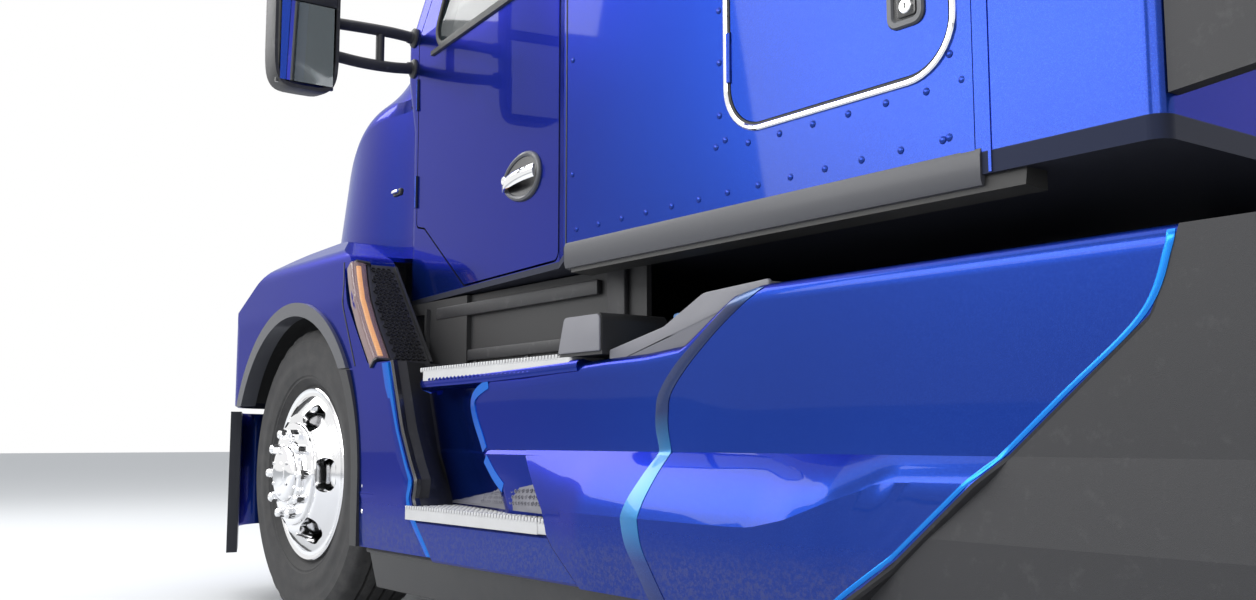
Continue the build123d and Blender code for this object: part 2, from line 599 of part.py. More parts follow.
def channel(side, x0, x1):
    y_out, y_in = side * RAIL_OUT, side * (RAIL_OUT - RAIL_FLANGE)
    web_in = side * (RAIL_OUT - RAIL_WALL)
    solid = block(x0, x1, y_out, y_in, Z_RAIL_BOTTOM, Z_RAIL_TOP)
    return solid - block(x0 - 1, x1 + 1, web_in, y_in - side, Z_RAIL_BOTTOM + RAIL_WALL,
                         Z_RAIL_TOP - RAIL_WALL)


def make_frame():
    web = RAIL_OUT - RAIL_WALL
    frame = channel(1, X_FRAME_REAR, X_FRAME_FRONT) + channel(-1, X_FRAME_REAR, X_FRAME_FRONT)
    parts = []
    for x in (X_FRAME_FRONT - 60, -1500, -2600, -3700, X_TANDEM + 30, X_FRAME_REAR):
        parts.append(block(x, x + 60, -web, web, Z_RAIL_BOTTOM + 30, Z_RAIL_TOP - 30))
    for side in (1, -1):
        for x in (-700, -1400, -3000):
            parts.append(block(x, x + 90, side * 350, side * 425, Z_RAIL_TOP, Z_CAB_FLOOR))
        arm = block(X_FRAME_FRONT - 10, X_HINGE, side * 350, side * 400, Z_HINGE - 14, Z_HINGE + 14)
        arm += rod_y(X_HINGE, side * 350, side * 400, Z_HINGE, 18)
        arm += rod_y(X_HINGE, side * 399, side * 462, Z_HINGE, HINGE_PIN_R)
        horn = block(1000, X_BUMPER - 40.5, side * 350, side * 420, 500, Z_RAIL_BOTTOM + 4)
        horn -= block(X_FRAME_FRONT, 1300, side * 340, side * 430, 735, 760)
        horn -= rod_z(1160, side * 385, 480, Z_RAIL_BOTTOM, 22)
        flap_arm = block(-6655, -6620, side * (web - 2), side * 1190, 900, 930)
        parts += [arm, horn, flap_arm]
    keep("frame_rails", frame + parts)


def make_front_axle():
    half = [(0, 395), (330, 395), (455, 395), (600, 420), (880, 462), (975, 462)]
    upper = [(975, 558), (880, 558), (600, 500), (455, 470), (330, 470), (0, 470)]
    rows = [(y, z, 0) for y, z in half[1:] + upper[:-1]]
    rows = rows + [(-y, z, 0) for y, z, r in reversed(rows)]
    beam = prism_yz(rows, -48, 48)
    waist = [block(x0, x1, -640, 640, 408, 457) for x0, x1 in ((14, 60), (-60, -14))]
    beam -= waist
    eyes = []
    for side in (1, -1):
        eyes.append(rod_z(0, side * KINGPIN_Y, 462, 558, 44))
        beam -= block(-60, 60, side * KINGPIN_Y, side * 1000, 440, 580)
    beam += eyes
    beam -= [rod_z(0, side * KINGPIN_Y, 440, 580, KINGPIN_R + RUN) for side in (1, -1)]
    for side in (1, -1):
        # two leaves, bent up to the hangers under the rail
        leaf = prism_xz([(-820, 590, 0), (-420, 505, 300), (0, 470, 0), (420, 505, 300), (720, 590, 0),
                         (720, 614, 0), (420, 531, 300), (0, 512, 0), (-420, 531, 300),
                         (-820, 614, 0)], side * 346 if side > 0 else side * 426,
                        side * 426 if side > 0 else side * 346)
        hangers = [block(x, x + 70, side * 346, side * 426, 585, Z_RAIL_BOTTOM) for x in (-820, 650)]
        leaf += hangers + [block(-48, 48, side * 346, side * 426, 460, 500)]
        beam += leaf
    keep("front_axle", beam)


def make_drive_axles():
    parts = []
    y_inner = Y_DUAL_OUTER - DUAL_SPACING
    for x in drive_x.values():
        tube = rod_y(x, -y_inner + 70, y_inner - 70, Z_AXLE, 70)
        spindle = rod_y(x, -y_inner - 320, y_inner + 320, Z_AXLE, SPINDLE_R + 10)
        bowl = Pos(fa(x), 0, Z_AXLE) * Sphere(190)
        nose = rod_x(x, x + 330, 60, Z_AXLE + 20, 85)
        saddles = [block(x - 70, x + 70, side * 360, side * 440, 420, Z_AXLE) for side in (1, -1)]
        parts.append(tube + [spindle, bowl, nose] + saddles)
    shaft = rod_x(drive_x["drive1"] + 330, -1420, 60, Z_AXLE + 20, 55)
    shaft = shaft + rod_x(drive_x["drive2"] + 330, drive_x["drive1"] - 150, 60, Z_AXLE + 20, 45)
    keep("drive_axles", parts[0] + [parts[1]] + list(shaft.solids()))

    arms = []
    for x in drive_x.values():
        for side in (1, -1):
            arm = block(x - 430, x + 560, side * 360, side * 440, 370, 420)
            hanger = block(x + 480, x + 560, side * 360, side * 430, 370, Z_RAIL_BOTTOM)
            bag = rod_z(x - 330, side * 395, 420, Z_RAIL_BOTTOM, 110)
            arms.append(arm + [hanger, bag])
    keep("rear_suspension", *arms)


def make_engine():
    engine = block(-290, 640, -330, 330, 620, 1480)
    engine = fillet(engine.edges().filter_by(Axis.X), 60)
    gearbox = block(-1400, -290, -230, 230, 600, 1000)
    radiator = block(760, 880, -440, 440, Z_RAIL_TOP, 1480)
    radiator += block(760, 880, -330, 330, 700, Z_RAIL_TOP)
    mount = block(300, 420, -423, 423, 780, 860)
    keep("engine_block", engine + [gearbox, mount], radiator)


def make_interior():
    floor = Z_CAB_FLOOR + CAB_WALL
    x_wall = X_FIREWALL - CAB_WALL
    dash = prism_xz([(x_wall - 12, 1500, 0), (-700, 1500, 60), (-860, 1660, 60), (-800, 1900, 60),
                     (x_wall - 12, 1930, 0)], -860, 860)
    dash += block(x_wall, x_wall - 13, -360, 360, 1500, 1700)
    console = block(-380, -860, -160, 160, floor, 1501)
    bunk = block(-2400, X_SLEEPER_REAR + CAB_WALL, -1000, 1000, floor, 1560)
    x, y, z = STEERING_POS
    column = Pos(fa(x), y, z) * Rot(0, -STEERING_TILT, 0) * Pos(0, 0, -170) * Cylinder(38, 220)
    column -= Pos(fa(x), y, z) * Rot(0, -STEERING_TILT, 0) * Pos(0, 0, -70) * Cylinder(POST_R + FIT, 60)
    keep("cab_interior", dash + [console, column], bunk)
    seats = []
    for side in (1, -1):
        y = side * 520
        seats.append(block(-1230, -1640, y - 190, y + 190, floor, 1440))
        cushion = block(-1180, -1700, y - 260, y + 260, 1440, 1580)
        back = prism_xz([(-1620, 1580, 0), (-1700, 1580, 0), (-1860, 2380, 50), (-1760, 2400, 50)],
                        y - 255, y + 255)
        seats[-1] = seats[-1] + [cushion, back]
    mattress = block(-2400, X_SLEEPER_REAR + CAB_WALL, -1000, 1000, 1560, 1700)
    keep("seats", *seats, mattress)

    x, y, z = STEERING_POS
    place = Pos(fa(x), y, z) * Rot(0, -STEERING_TILT, 0)
    rim = Torus(STEERING_R, 15)
    spokes = [Rot(0, 0, a) * Pos(STEERING_R / 2, 0, 0) * Box(STEERING_R, 34, 14) for a in (0, 120, 240)]
    hub = Cylinder(70, 34)
    post = Pos(0, 0, -55) * Cylinder(POST_R, 80)
    keep("steering_wheel", place * (rim + spokes + [hub, post]))


def make_back():
    deck = block(-3330, -4090, -RAIL_OUT, RAIL_OUT, Z_RAIL_TOP, Z_RAIL_TOP + DECK_THICK)
    keep("deck_plate", deck)
    z_base = Z_RAIL_TOP
    base = block(FIFTH_X - 330, FIFTH_X + 330, -RAIL_OUT, RAIL_OUT, z_base, z_base + 14)
    for side in (1, -1):
        foot = prism_xz([(FIFTH_X - 150, z_base, 0), (FIFTH_X + 150, z_base, 0),
                         (FIFTH_X + 45, FIFTH_PIVOT_Z + 14, 12), (FIFTH_X - 45, FIFTH_PIVOT_Z + 14, 12)],
                        side * 396 if side > 0 else side * 424, side * 424 if side > 0 else side * 396)
        base += foot
        base += rod_y(FIFTH_X, side * 360, side * 400, FIFTH_PIVOT_Z, PIVOT_PIN_R)
    keep("fifth_wheel_base", base)

    front, rear = FIFTH_X + 420, FIFTH_X - 520
    plate_rows = [(front, -340, 120), (front, 340, 120), (FIFTH_X + 100, FIFTH_HALF_WIDTH, 120),
                  (FIFTH_X - 200, FIFTH_HALF_WIDTH, 120), (rear, 250, 60), (rear, 170, 20),
                  (FIFTH_X - 120, 40, 20), (FIFTH_X - 120, -40, 20), (rear, -170, 20),
                  (rear, -250, 60), (FIFTH_X - 200, -FIFTH_HALF_WIDTH, 120),
                  (FIFTH_X + 100, -FIFTH_HALF_WIDTH, 120)]
    top = FIFTH_TOP
    plate = prism_xy(plate_rows, top - JAW_LENGTH, top)
    plate -= [rod_z(FIFTH_X, 0, top - 100, top + 10, KINGPIN_THROAT_R),
              block(FIFTH_X - 130, FIFTH_X - 12, -15, 15, top - 100, top + 10)]
    for side in (1, -1):
        lug = block(FIFTH_X - 45, FIFTH_X + 45, side * 364, side * 392, FIFTH_PIVOT_Z - 40, top - 10)
        plate += lug
        plate -= rod_y(FIFTH_X, side * 350, side * 396, FIFTH_PIVOT_Z, PIVOT_PIN_R + RUN)
    keep("fifth_wheel_plate", plate)

    x0 = X_SLEEPER_REAR
    extender_rows = [(x0, 1150, 0), (x0 - 420, 1190, 40), (x0 - 420, 3560, 200), (x0, 3720, 0)]
    keep("side_extenders", *both(prism_xz(extender_rows, Y_SLEEPER - 44, Y_SLEEPER - 14)))

    flap = block(-6650, -6642, 620, 1215, 230, 900)
    keep("mud_flaps", *both(flap))
    lamp = block(X_FRAME_REAR - 18, X_FRAME_REAR, 343, 425, 860, 960)
    keep("tail_lamps", *both(lamp))
    foot_z = Z_RAIL_TOP + DECK_THICK
    pipe = rod_z(-3420, -700, foot_z, 3500, 62) + [block(-3480, -3360, -770, -300, foot_z, foot_z + 20)]
    keep("exhaust_stack", pipe)


def make_mirrors():
    arm_y = side_y(-405) + FIT
    head = prism_xy([(-300, 1292, 50), (-300, 1510, 60), (-455, 1510, 40), (-455, 1292, 40)],
                    1750, 2420)
    arms = []
    for z in (1910, 2020):
        arms.append(rod_y(-385, arm_y, 1295, z, 20))
    post = rod_z(-385, arm_y + 130, 1892, 2040, 16)
    keep("mirrors", *both(head + arms + [post]))
    panes = [block(-463, -455, 1312, 1490, z0, z1) for z0, z1 in ((2080, 2395), (1775, 2040))]
    keep("mirror_glasses", *[s for p in panes for s in both(p)])


def make_steering():
    for name, side in (("left", 1), ("right", -1)):
        y = side * KINGPIN_Y
        pin = rod_z(0, y, 405, 615, KINGPIN_R)
        lugs = [rod_z(0, y, 558.3, 610, 46), rod_z(0, y, 410, 461.7, 46)]
        bridge = block(-48, 48, y + side * 50, y + side * 74, 410, 610)
        joins = [block(-40, 40, y, y + side * 60, 558.3, 610), block(-40, 40, y, y + side * 60, 410, 461.7)]
        spindle = rod_y(0, y + side * 60, y + side * 260, Z_AXLE, SPINDLE_R)
        arm = block(-STEER_ARM, 0, y - 22, y + 22, 412, 440)
        eye = rod_z(-STEER_ARM, y, 412, 440, 28)
        ball = rod_z(-STEER_ARM, y, 380, 413, 12)
        keep("knuckle_" + name, pin + lugs + [bridge, spindle, arm, eye, ball] + joins)
    rod = rod_y(-STEER_ARM, -KINGPIN_Y + 20, KINGPIN_Y - 20, 393, 14)
    ends = [rod_z(-STEER_ARM, side * KINGPIN_Y, 377, 409, 30) for side in (1, -1)]
    holes = [rod_z(-STEER_ARM, KINGPIN_Y, 370, 420, 12 + RUN),
             rod_z(-STEER_ARM, -KINGPIN_Y, 370, 420, 12 + 0.5)]
    keep("tie_rod", (rod + ends) - holes)


make_wheels()
make_cab()
make_hood()
make_bumper()
make_sides()
make_tanks()
make_frame()
make_front_axle()
make_drive_axles()
make_engine()
make_interior()
make_back()
make_mirrors()
make_steering()

os.makedirs("parts", exist_ok=True)
for name, solids in nodes.items():
    export_step(Compound(children=solids), "parts/" + name + ".step")
print(len(nodes), "nodes")
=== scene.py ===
import math
import bmesh
import bpy
from mathutils import Matrix, Vector


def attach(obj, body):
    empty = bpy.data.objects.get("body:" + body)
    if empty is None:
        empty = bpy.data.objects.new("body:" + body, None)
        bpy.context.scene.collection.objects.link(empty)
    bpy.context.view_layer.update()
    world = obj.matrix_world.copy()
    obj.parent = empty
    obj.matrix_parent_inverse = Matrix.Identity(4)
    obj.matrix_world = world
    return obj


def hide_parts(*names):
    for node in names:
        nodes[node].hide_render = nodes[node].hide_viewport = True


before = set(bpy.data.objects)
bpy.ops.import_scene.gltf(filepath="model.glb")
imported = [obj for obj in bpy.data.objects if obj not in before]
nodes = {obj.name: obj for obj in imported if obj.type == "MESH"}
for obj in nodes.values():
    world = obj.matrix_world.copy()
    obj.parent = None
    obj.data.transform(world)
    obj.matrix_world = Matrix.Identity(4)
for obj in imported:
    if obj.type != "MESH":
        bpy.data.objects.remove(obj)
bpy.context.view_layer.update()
axleX = 2.72       # the front axle's place along the truck, in metres


class Wire:
    # an output socket, so that shader maths reads as an expression
    def __init__(self, graph, socket):
        self.graph, self.socket = graph, socket

    def calc(self, operation, *others):
        return self.graph.maths(operation, self, *others)

    def __add__(self, other):
        return self.calc("ADD", other)

    def __sub__(self, other):
        return self.calc("SUBTRACT", other)

    def __rsub__(self, other):
        return self.graph.maths("SUBTRACT", other, self)

    def __mul__(self, other):
        return self.calc("MULTIPLY", other)

    __radd__, __rmul__ = __add__, __mul__

    def above(self, edge, soft):
        # 0 below the edge, 1 above it, with a soft step between
        settings = {"interpolation_type": "SMOOTHSTEP"}
        return self.graph.add("ShaderNodeMapRange", settings,
                              {"Value": self, "From Min": edge - soft, "From Max": edge + soft})


class Graph:
    # a node tree, filled by one method
    def __init__(self, tree):
        self.tree = tree
        tree.nodes.clear()

    def add(self, kind, settings=None, inputs=None, output=0):
        node = self.tree.nodes.new(kind)
        for key, value in (settings or {}).items():
            if key == "stops":
                ramp = node.color_ramp.elements
                ramp[0].position, ramp[1].position = value[0][0], value[-1][0]
                for place, colour in value[1:-1]:
                    ramp.new(place)
                for stop, (place, colour) in zip(ramp, value):
                    stop.color = colour
            else:
                setattr(node, key, value)
        for key, value in (inputs or {}).items():
            if isinstance(value, Wire):
                self.tree.links.new(value.socket, node.inputs[key])
            else:
                node.inputs[key].default_value = value
        return None if output is None else Wire(self, node.outputs[output])

    def maths(self, operation, *values):
        return self.add("ShaderNodeMath", {"operation": operation}, dict(enumerate(values)))


class Finish(Graph):
    # one material
    def __init__(self, name):
        self.material = bpy.data.materials.new(name)
        self.material.use_nodes = True
        super().__init__(self.material.node_tree)

    def where(self):
        return self.add("ShaderNodeTexCoord", output="Object")

    def noise(self, scale, detail=3, rough=0.55, place=None):
        inputs = {"Vector": place or self.where(), "Scale": scale, "Detail": detail, "Roughness": rough}
        return self.add("ShaderNodeTexNoise", {}, inputs)

    def cells(self, scale, output="Distance"):
        return self.add("ShaderNodeTexVoronoi", {}, {"Vector": self.where(), "Scale": scale}, output)

    def stretched(self, scale):
        return self.add("ShaderNodeMapping", {}, {"Vector": self.where(), "Scale": scale})

    def axis(self, name, place=None):
        return self.add("ShaderNodeSeparateXYZ", {}, {"Vector": place or self.where()}, name)

    def mix(self, share, first, second):
        return self.add("ShaderNodeMix", {"data_type": "RGBA"}, {0: share, 6: first, 7: second}, 2)

    def bump(self, height, strength, distance):
        return self.add("ShaderNodeBump", {}, {"Height": height, "Strength": strength, "Distance": distance})

    def inside(self, middle):
        # 1 on faces that look towards the middle of a shell, 0 on its outer faces
        away = self.add("ShaderNodeVectorMath", {"operation": "SUBTRACT"}, {0: self.where(), 1: middle})
        normal = self.add("ShaderNodeTexCoord", output="Normal")
        dot = self.add("ShaderNodeVectorMath", {"operation": "DOT_PRODUCT"}, {0: away, 1: normal}, "Value")
        return dot.calc("LESS_THAN", 0.0)

    def done(self, inputs):
        surface = self.add("ShaderNodeBsdfPrincipled", {}, inputs)
        self.add("ShaderNodeOutputMaterial", {}, {"Surface": surface}, None)
        return self.material


def rgb(red, green, blue):
    return (red, green, blue, 1.0)


def shade(colour, factor):
    # a lighter or darker tone of a colour
    return tuple(c * factor for c in colour[:3]) + (1,)


paintLook = {
    "blue": rgb(0.008, 0.040, 0.29), "deep": rgb(0.005, 0.024, 0.21), "trim": rgb(0.018, 0.018, 0.02),
    "dust": rgb(0.10, 0.095, 0.12), "dustTop": 0.40, "metal": 0.86, "roughness": 0.27, "coat": 0.30,
    "edge": rgb(0.07, 0.17, 0.65),
}


def bodyPaint(name, middle=None, dusty=0.0, colour=None, deep=None, blackBelow=None):
    # a metallic colour under lacquer, dark inside the shell, dusty near the road
    f = Finish(name)
    broad = f.noise(1.3, 2)
    flake = f.cells(900, output="Color")
    tone = f.mix(broad, deep or paintLook["deep"], colour or paintLook["blue"])
    sparkle = f.axis("X", flake).above(0.8, 0.12)
    base = f.mix(sparkle * 0.12, tone, paintLook["edge"])
    height = f.axis("Z")
    speck = f.noise(95, 6, 0.75).above(0.52, 0.1)
    grime = (1 - height.above(paintLook["dustTop"], 0.05)) * (0.3 + 0.7 * speck) * dusty
    base = f.mix(grime, base, paintLook["dust"])
    dull = grime
    if blackBelow or middle:
        hidden = 1 - height.above(blackBelow, 0.001) if blackBelow else 0
        if middle:
            within = f.inside(middle)
            hidden = within + hidden * (1 - within) if blackBelow else within
        base = f.mix(hidden, base, paintLook["trim"])
        dull = grime * (1 - hidden) + hidden
    peel = f.noise(160, 2)
    return f.done({"Base Color": base, "Roughness": paintLook["roughness"] + dull * 0.3,
                   "Metallic": paintLook["metal"] * (1 - dull), "Specular Tint": paintLook["edge"],
                   "Coat Weight": paintLook["coat"] * (1 - dull), "Coat Roughness": 0.03,
                   "Normal": f.bump(peel, 0.05, 0.0006)})


def heightBandReflectionPaint(name, rows):
    # painted reflection and shade: the strip's colour changes with height, a painted sky reflection at the
    # heights of the bulge's slope and the top edge, painted shade between; rows of (height in metres, colour)
    f = Finish(name)
    low, high = rows[0][0], rows[-1][0]
    share = f.add("ShaderNodeMapRange", {}, {"Value": f.axis("Z"), "From Min": low, "From Max": high})
    stops = [((z - low) / (high - low), colour) for z, colour in rows]
    tone = f.add("ShaderNodeValToRGB", {"stops": stops}, {"Fac": share})
    flake = f.axis("X", f.cells(900, output="Color")).above(0.8, 0.12)
    base = f.mix(flake * 0.1, tone, paintLook["edge"])
    peel = f.noise(160, 2)
    return f.done({"Base Color": base, "Roughness": 0.3 + 0.06 * flake, "Metallic": 0.6,
                   "Coat Weight": 0.4, "Coat Roughness": 0.03, "Normal": f.bump(peel, 0.05, 0.0006)})


def mouldedPlastic(name, colour, roughness=0.55, grain=900, worn=0.0, coat=0.0):
    f = Finish(name)
    broad = f.noise(2.2, 4)
    lighter = tuple(min(1, c * 1.5 + 0.004) for c in colour[:3]) + (1,)
    tone = f.mix(broad, colour, lighter)
    scuff = f.noise(26, 6, 0.7).above(0.62, 0.08) * worn
    tone = f.mix(scuff, tone, rgb(0.12, 0.12, 0.12))
    pits = f.cells(grain)
    return f.done({"Base Color": tone, "Roughness": roughness - 0.1 + 0.2 * broad, "Coat Weight": coat,
                   "Coat Roughness": 0.15, "Normal": f.bump(pits, 0.22, 0.0006)})


def twoPlastics(name, near, far, low, high):
    # one moulding: the far colour inside a box, given in metres from the front axle, the near one elsewhere
    f = Finish(name)
    place = f.where()
    inside = 1
    for axis, a, b in zip("XYZ", low, high):
        along = f.axis(axis, place)
        along = along.calc("ABSOLUTE") if axis == "Y" else along - axleX * (axis == "X")
        inside = along.above(a, 0.002) * (1 - along.above(b, 0.002)) * inside
    tone = f.mix(inside, f.mix(f.noise(2.2, 4), near, shade(near, 1.5)), far)
    pits = f.cells(900)
    return f.done({"Base Color": tone, "Roughness": 0.5, "Normal": f.bump(pits, 0.22, 0.0006)})


def rubber(name, colour, dusty=0.5, roughness=0.7):
    f = Finish(name)
    broad = f.noise(5, 5, 0.65)
    dust = f.noise(22, 6, 0.7).above(0.52, 0.2) * dusty
    tone = f.mix(broad, colour, shade(colour, 1.7))
    tone = f.mix(dust * 0.45, tone, rgb(0.11, 0.105, 0.10))
    fine = f.noise(420, 4, 0.6)
    return f.done({"Base Color": tone, "Roughness": roughness + dust * 0.2,
                   "Normal": f.bump(fine, 0.25, 0.0008)})


def brightMetal(name, colour, roughness, brushed=(1, 1, 1), marks=0.15, metal=1.0):
    f = Finish(name)
    lines = f.noise(90, 4, 0.7, f.stretched(brushed))
    smudge = f.noise(9, 5, 0.6)
    tone = f.mix(smudge * marks, colour, shade(colour, 0.45))
    return f.done({"Base Color": tone, "Metallic": metal,
                   "Roughness": roughness + smudge * marks * 0.35 + lines * marks * 0.2,
                   "Normal": f.bump(lines, marks * 0.35, 0.0004)})


def roughIron(name, colour, rust=0.25, roughness=0.55):
    f = Finish(name)
    broad = f.noise(7, 6, 0.7)
    spots = f.noise(19, 6, 0.75).above(0.58, 0.1) * rust
    tone = f.mix(spots, f.mix(broad, colour, shade(colour, 2)), rgb(0.13, 0.06, 0.035))
    cast = f.noise(240, 5, 0.7)
    return f.done({"Base Color": tone, "Roughness": roughness + spots * 0.3, "Metallic": 0.35 - spots * 0.3,
                   "Normal": f.bump(cast, 0.3, 0.0015)})


def tintedGlass(name, tint, clear):
    f = Finish(name)
    film = f.noise(3, 4)
    return f.done({"Base Color": f.mix(film * 0.4, tint, shade(tint, 0.7)),
                   "Roughness": 0.02 + film * 0.03, "Alpha": clear, "Specular IOR Level": 0.8})


def litLens(name, colour, glow):
    # a glowing lens with fine ribs
    f = Finish(name)
    rib = f.axis("Z", f.stretched((1, 1, 960))).calc("SINE")
    tone = f.mix(0.5 + 0.5 * rib, shade(colour, 0.75), colour)
    return f.done({"Base Color": tone, "Roughness": 0.12, "Emission Color": tone, "Emission Strength": glow,
                   "Normal": f.bump(rib, 0.3, 0.001)})


def wovenFabric(name, colour, thread=700.0):
    f = Finish(name)
    fine = f.stretched((thread, thread, thread))
    weave = f.axis("X", fine).calc("SINE") * f.axis("Y", fine).calc("SINE")
    tone = f.mix(f.noise(8, 4), colour, shade(colour, 1.6))
    return f.done({"Base Color": tone, "Roughness": 0.85, "Sheen Weight": 0.3,
                   "Normal": f.bump(weave + 0.5 * f.noise(500, 3), 0.35, 0.001)})


def chequerPlate(name, colour):
    # raised lozenges, turned one way and then the other
    f = Finish(name)
    across, along = f.axis("X") * 26, f.axis("Y") * 26
    left = (across + along).calc("FRACT") - 0.5
    right = (across - along).calc("FRACT") - 0.5
    lozenge = 1 - (left * left * 9 + right * right * 40).calc("SQRT")
    raised = lozenge.above(0.35, 0.12)
    tone = f.mix(f.noise(11, 5, 0.65) * 0.6, colour, shade(colour, 0.55))
    return f.done({"Base Color": tone, "Metallic": 0.9, "Roughness": 0.5 - raised * 0.2,
                   "Normal": f.bump(raised, 0.6, 0.002)})


print("finishes")
cabMiddle = (axleX - 1.75, 0.0, 2.1)
bluePaint = bodyPaint("bluePaint")
cabPaint = bodyPaint("cabPaint", middle=cabMiddle, blackBelow=1.098)
sleeperPaint = bodyPaint("sleeperPaint", middle=cabMiddle, blackBelow=1.119)
hoodPaint = bodyPaint("hoodPaint", middle=(axleX + 0.3, 0.0, 1.0))
skirtPaint = bodyPaint("skirtPaint", dusty=0.42)
# light blue: the blue air coupling's own colour, and a painted highlight on the skirts' rounded panel edges
blueAndEdgeHighlightPaint = bodyPaint("blueAndEdgeHighlightPaint", colour=rgb(0.010, 0.22, 0.72), deep=rgb(0.008, 0.15, 0.58))
# the wave joint's bands are painted reflection (light) and painted shade (dark), set by height
waveReflectionShadePaint = heightBandReflectionPaint("waveReflectionShadePaint", [(0.29, rgb(0.003, 0.018, 0.13)), (0.37, rgb(0.004, 0.030, 0.19)),
                                     (0.44, rgb(0.010, 0.17, 0.42)), (0.60, rgb(0.010, 0.15, 0.36)),
                                     (0.69, rgb(0.003, 0.020, 0.10)), (0.90, rgb(0.002, 0.010, 0.06)),
                                     (0.95, rgb(0.008, 0.12, 0.38))])
navyPaint = bodyPaint("navyPaint", colour=rgb(0.003, 0.014, 0.12), deep=rgb(0.002, 0.010, 0.08))
blackPlastic = mouldedPlastic("blackPlastic", rgb(0.014, 0.014, 0.016), 0.5, worn=0.25)
greyPlastic = mouldedPlastic("greyPlastic", rgb(0.085, 0.088, 0.10), 0.45, coat=0.2)
darkGreyPlastic = mouldedPlastic("darkGreyPlastic", rgb(0.032, 0.034, 0.042), 0.42, coat=0.3)
glossBlack = mouldedPlastic("glossBlack", rgb(0.006, 0.006, 0.007), 0.2, coat=1.0)
interiorPlastic = mouldedPlastic("interiorPlastic", rgb(0.03, 0.03, 0.033), 0.6, grain=1400)
interiorGrey = mouldedPlastic("interiorGrey", rgb(0.13, 0.125, 0.12), 0.6, grain=1400)
tyreRubber = rubber("tyreRubber", rgb(0.012, 0.012, 0.013), 0.6)
lipRubber = rubber("lipRubber", rgb(0.010, 0.010, 0.011), 0.35, 0.38)
sealRubber = rubber("sealRubber", rgb(0.006, 0.006, 0.006), 0.1, 0.55)
polishedRim = brightMetal("polishedRim", rgb(0.86, 0.86, 0.87), 0.08, marks=0.12)
chrome = brightMetal("chrome", rgb(0.90, 0.90, 0.91), 0.04, marks=0.05)
plainSteel = brightMetal("plainSteel", rgb(0.55, 0.55, 0.56), 0.3, marks=0.4)
tankMetal = brightMetal("tankMetal", rgb(0.70, 0.71, 0.73), 0.2, (1, 14, 14), marks=0.25)
stackSteel = brightMetal("stackSteel", rgb(0.62, 0.61, 0.60), 0.18, (12, 12, 0.6), marks=0.3)
treadMetal = brightMetal("treadMetal", rgb(0.60, 0.60, 0.60), 0.45, (1, 6, 6), marks=0.35, metal=0.35)
deckMetal = chequerPlate("deckMetal", rgb(0.62, 0.62, 0.63))
framePaint = roughIron("framePaint", rgb(0.014, 0.014, 0.015), 0.12, 0.45)
axleIron = roughIron("axleIron", rgb(0.02, 0.02, 0.021), 0.35)
engineIron = roughIron("engineIron", rgb(0.12, 0.12, 0.125), 0.2)
darkGlass = tintedGlass("darkGlass", rgb(0.03, 0.045, 0.05), 0.5)
lampGlass = tintedGlass("lampGlass", rgb(0.75, 0.78, 0.82), 0.25)
mirrorGlass = brightMetal("mirrorGlass", rgb(0.82, 0.86, 0.90), 0.015, marks=0.02)
amberLens = litLens("amberLens", rgb(1.0, 0.50, 0.10), 0.9)
redLens = litLens("redLens", rgb(0.50, 0.008, 0.006), 0.05)
whiteLens = litLens("whiteLens", rgb(0.85, 0.88, 0.92), 0.25)
seatCloth = wovenFabric("seatCloth", rgb(0.035, 0.036, 0.042))
seatCentre = wovenFabric("seatCentre", rgb(0.09, 0.09, 0.10), 520.0)
beddingCloth = wovenFabric("beddingCloth", rgb(0.22, 0.23, 0.27), 420.0)
capPlastic = mouldedPlastic("capPlastic", rgb(0.06, 0.16, 0.36), 0.4, coat=0.4)
wellPlastic = twoPlastics("wellPlastic", rgb(0.013, 0.013, 0.014), rgb(0.12, 0.12, 0.135),
                          (-2.41, 1.05, 0.80), (-1.842, 1.2, 0.96))
linerPlastic = mouldedPlastic("linerPlastic", rgb(0.007, 0.007, 0.008), 0.75, worn=0.15)
guardGrey = mouldedPlastic("guardGrey", rgb(0.12, 0.12, 0.135), 0.5, coat=0.1)
roseLens = tintedGlass("roseLens", rgb(0.50, 0.34, 0.34), 0.3)
reflector = mouldedPlastic("reflector", rgb(0.075, 0.040, 0.038), 0.3, coat=0.5)
# darker than the tread metal: painted shade for the toe plate under the low step
shadedToePlateMetal = brightMetal("shadedToePlateMetal", rgb(0.20, 0.20, 0.23), 0.4, (1, 6, 6), marks=0.3, metal=0.5)
tailPlastic = mouldedPlastic("tailPlastic", rgb(0.015, 0.015, 0.017), worn=0.1)
sillPlastic = mouldedPlastic("sillPlastic", rgb(0.036, 0.037, 0.044), 0.45, coat=0.1)
greaseSteel = roughIron("greaseSteel", rgb(0.035, 0.034, 0.033), 0.1, 0.3)


def at(x, y, z):
    # millimetres ahead of the front axle, to the left and up
    return Vector((x, y, z))


def rounded(rows, steps=6):
    # a closed outline of (a, b, corner radius), with its corners drawn as arcs
    points = []
    for i, (a, b, radius) in enumerate(rows):
        here = Vector((a, b))
        if radius <= 0:
            points.append(here)
            continue
        back = (Vector(rows[i - 1][:2]) - here).normalized()
        ahead = (Vector(rows[(i + 1) % len(rows)][:2]) - here).normalized()
        half = back.angle(ahead) / 2
        reach = radius / math.tan(half)
        centre = here + (back + ahead).normalized() * (radius / math.sin(half))
        first, last = here + back * reach - centre, here + ahead * reach - centre
        turn = first.angle_signed(last)
        for k in range(steps + 1):
            angle = -turn * k / steps
            points.append(centre + Matrix.Rotation(angle, 2) @ first)
    return points


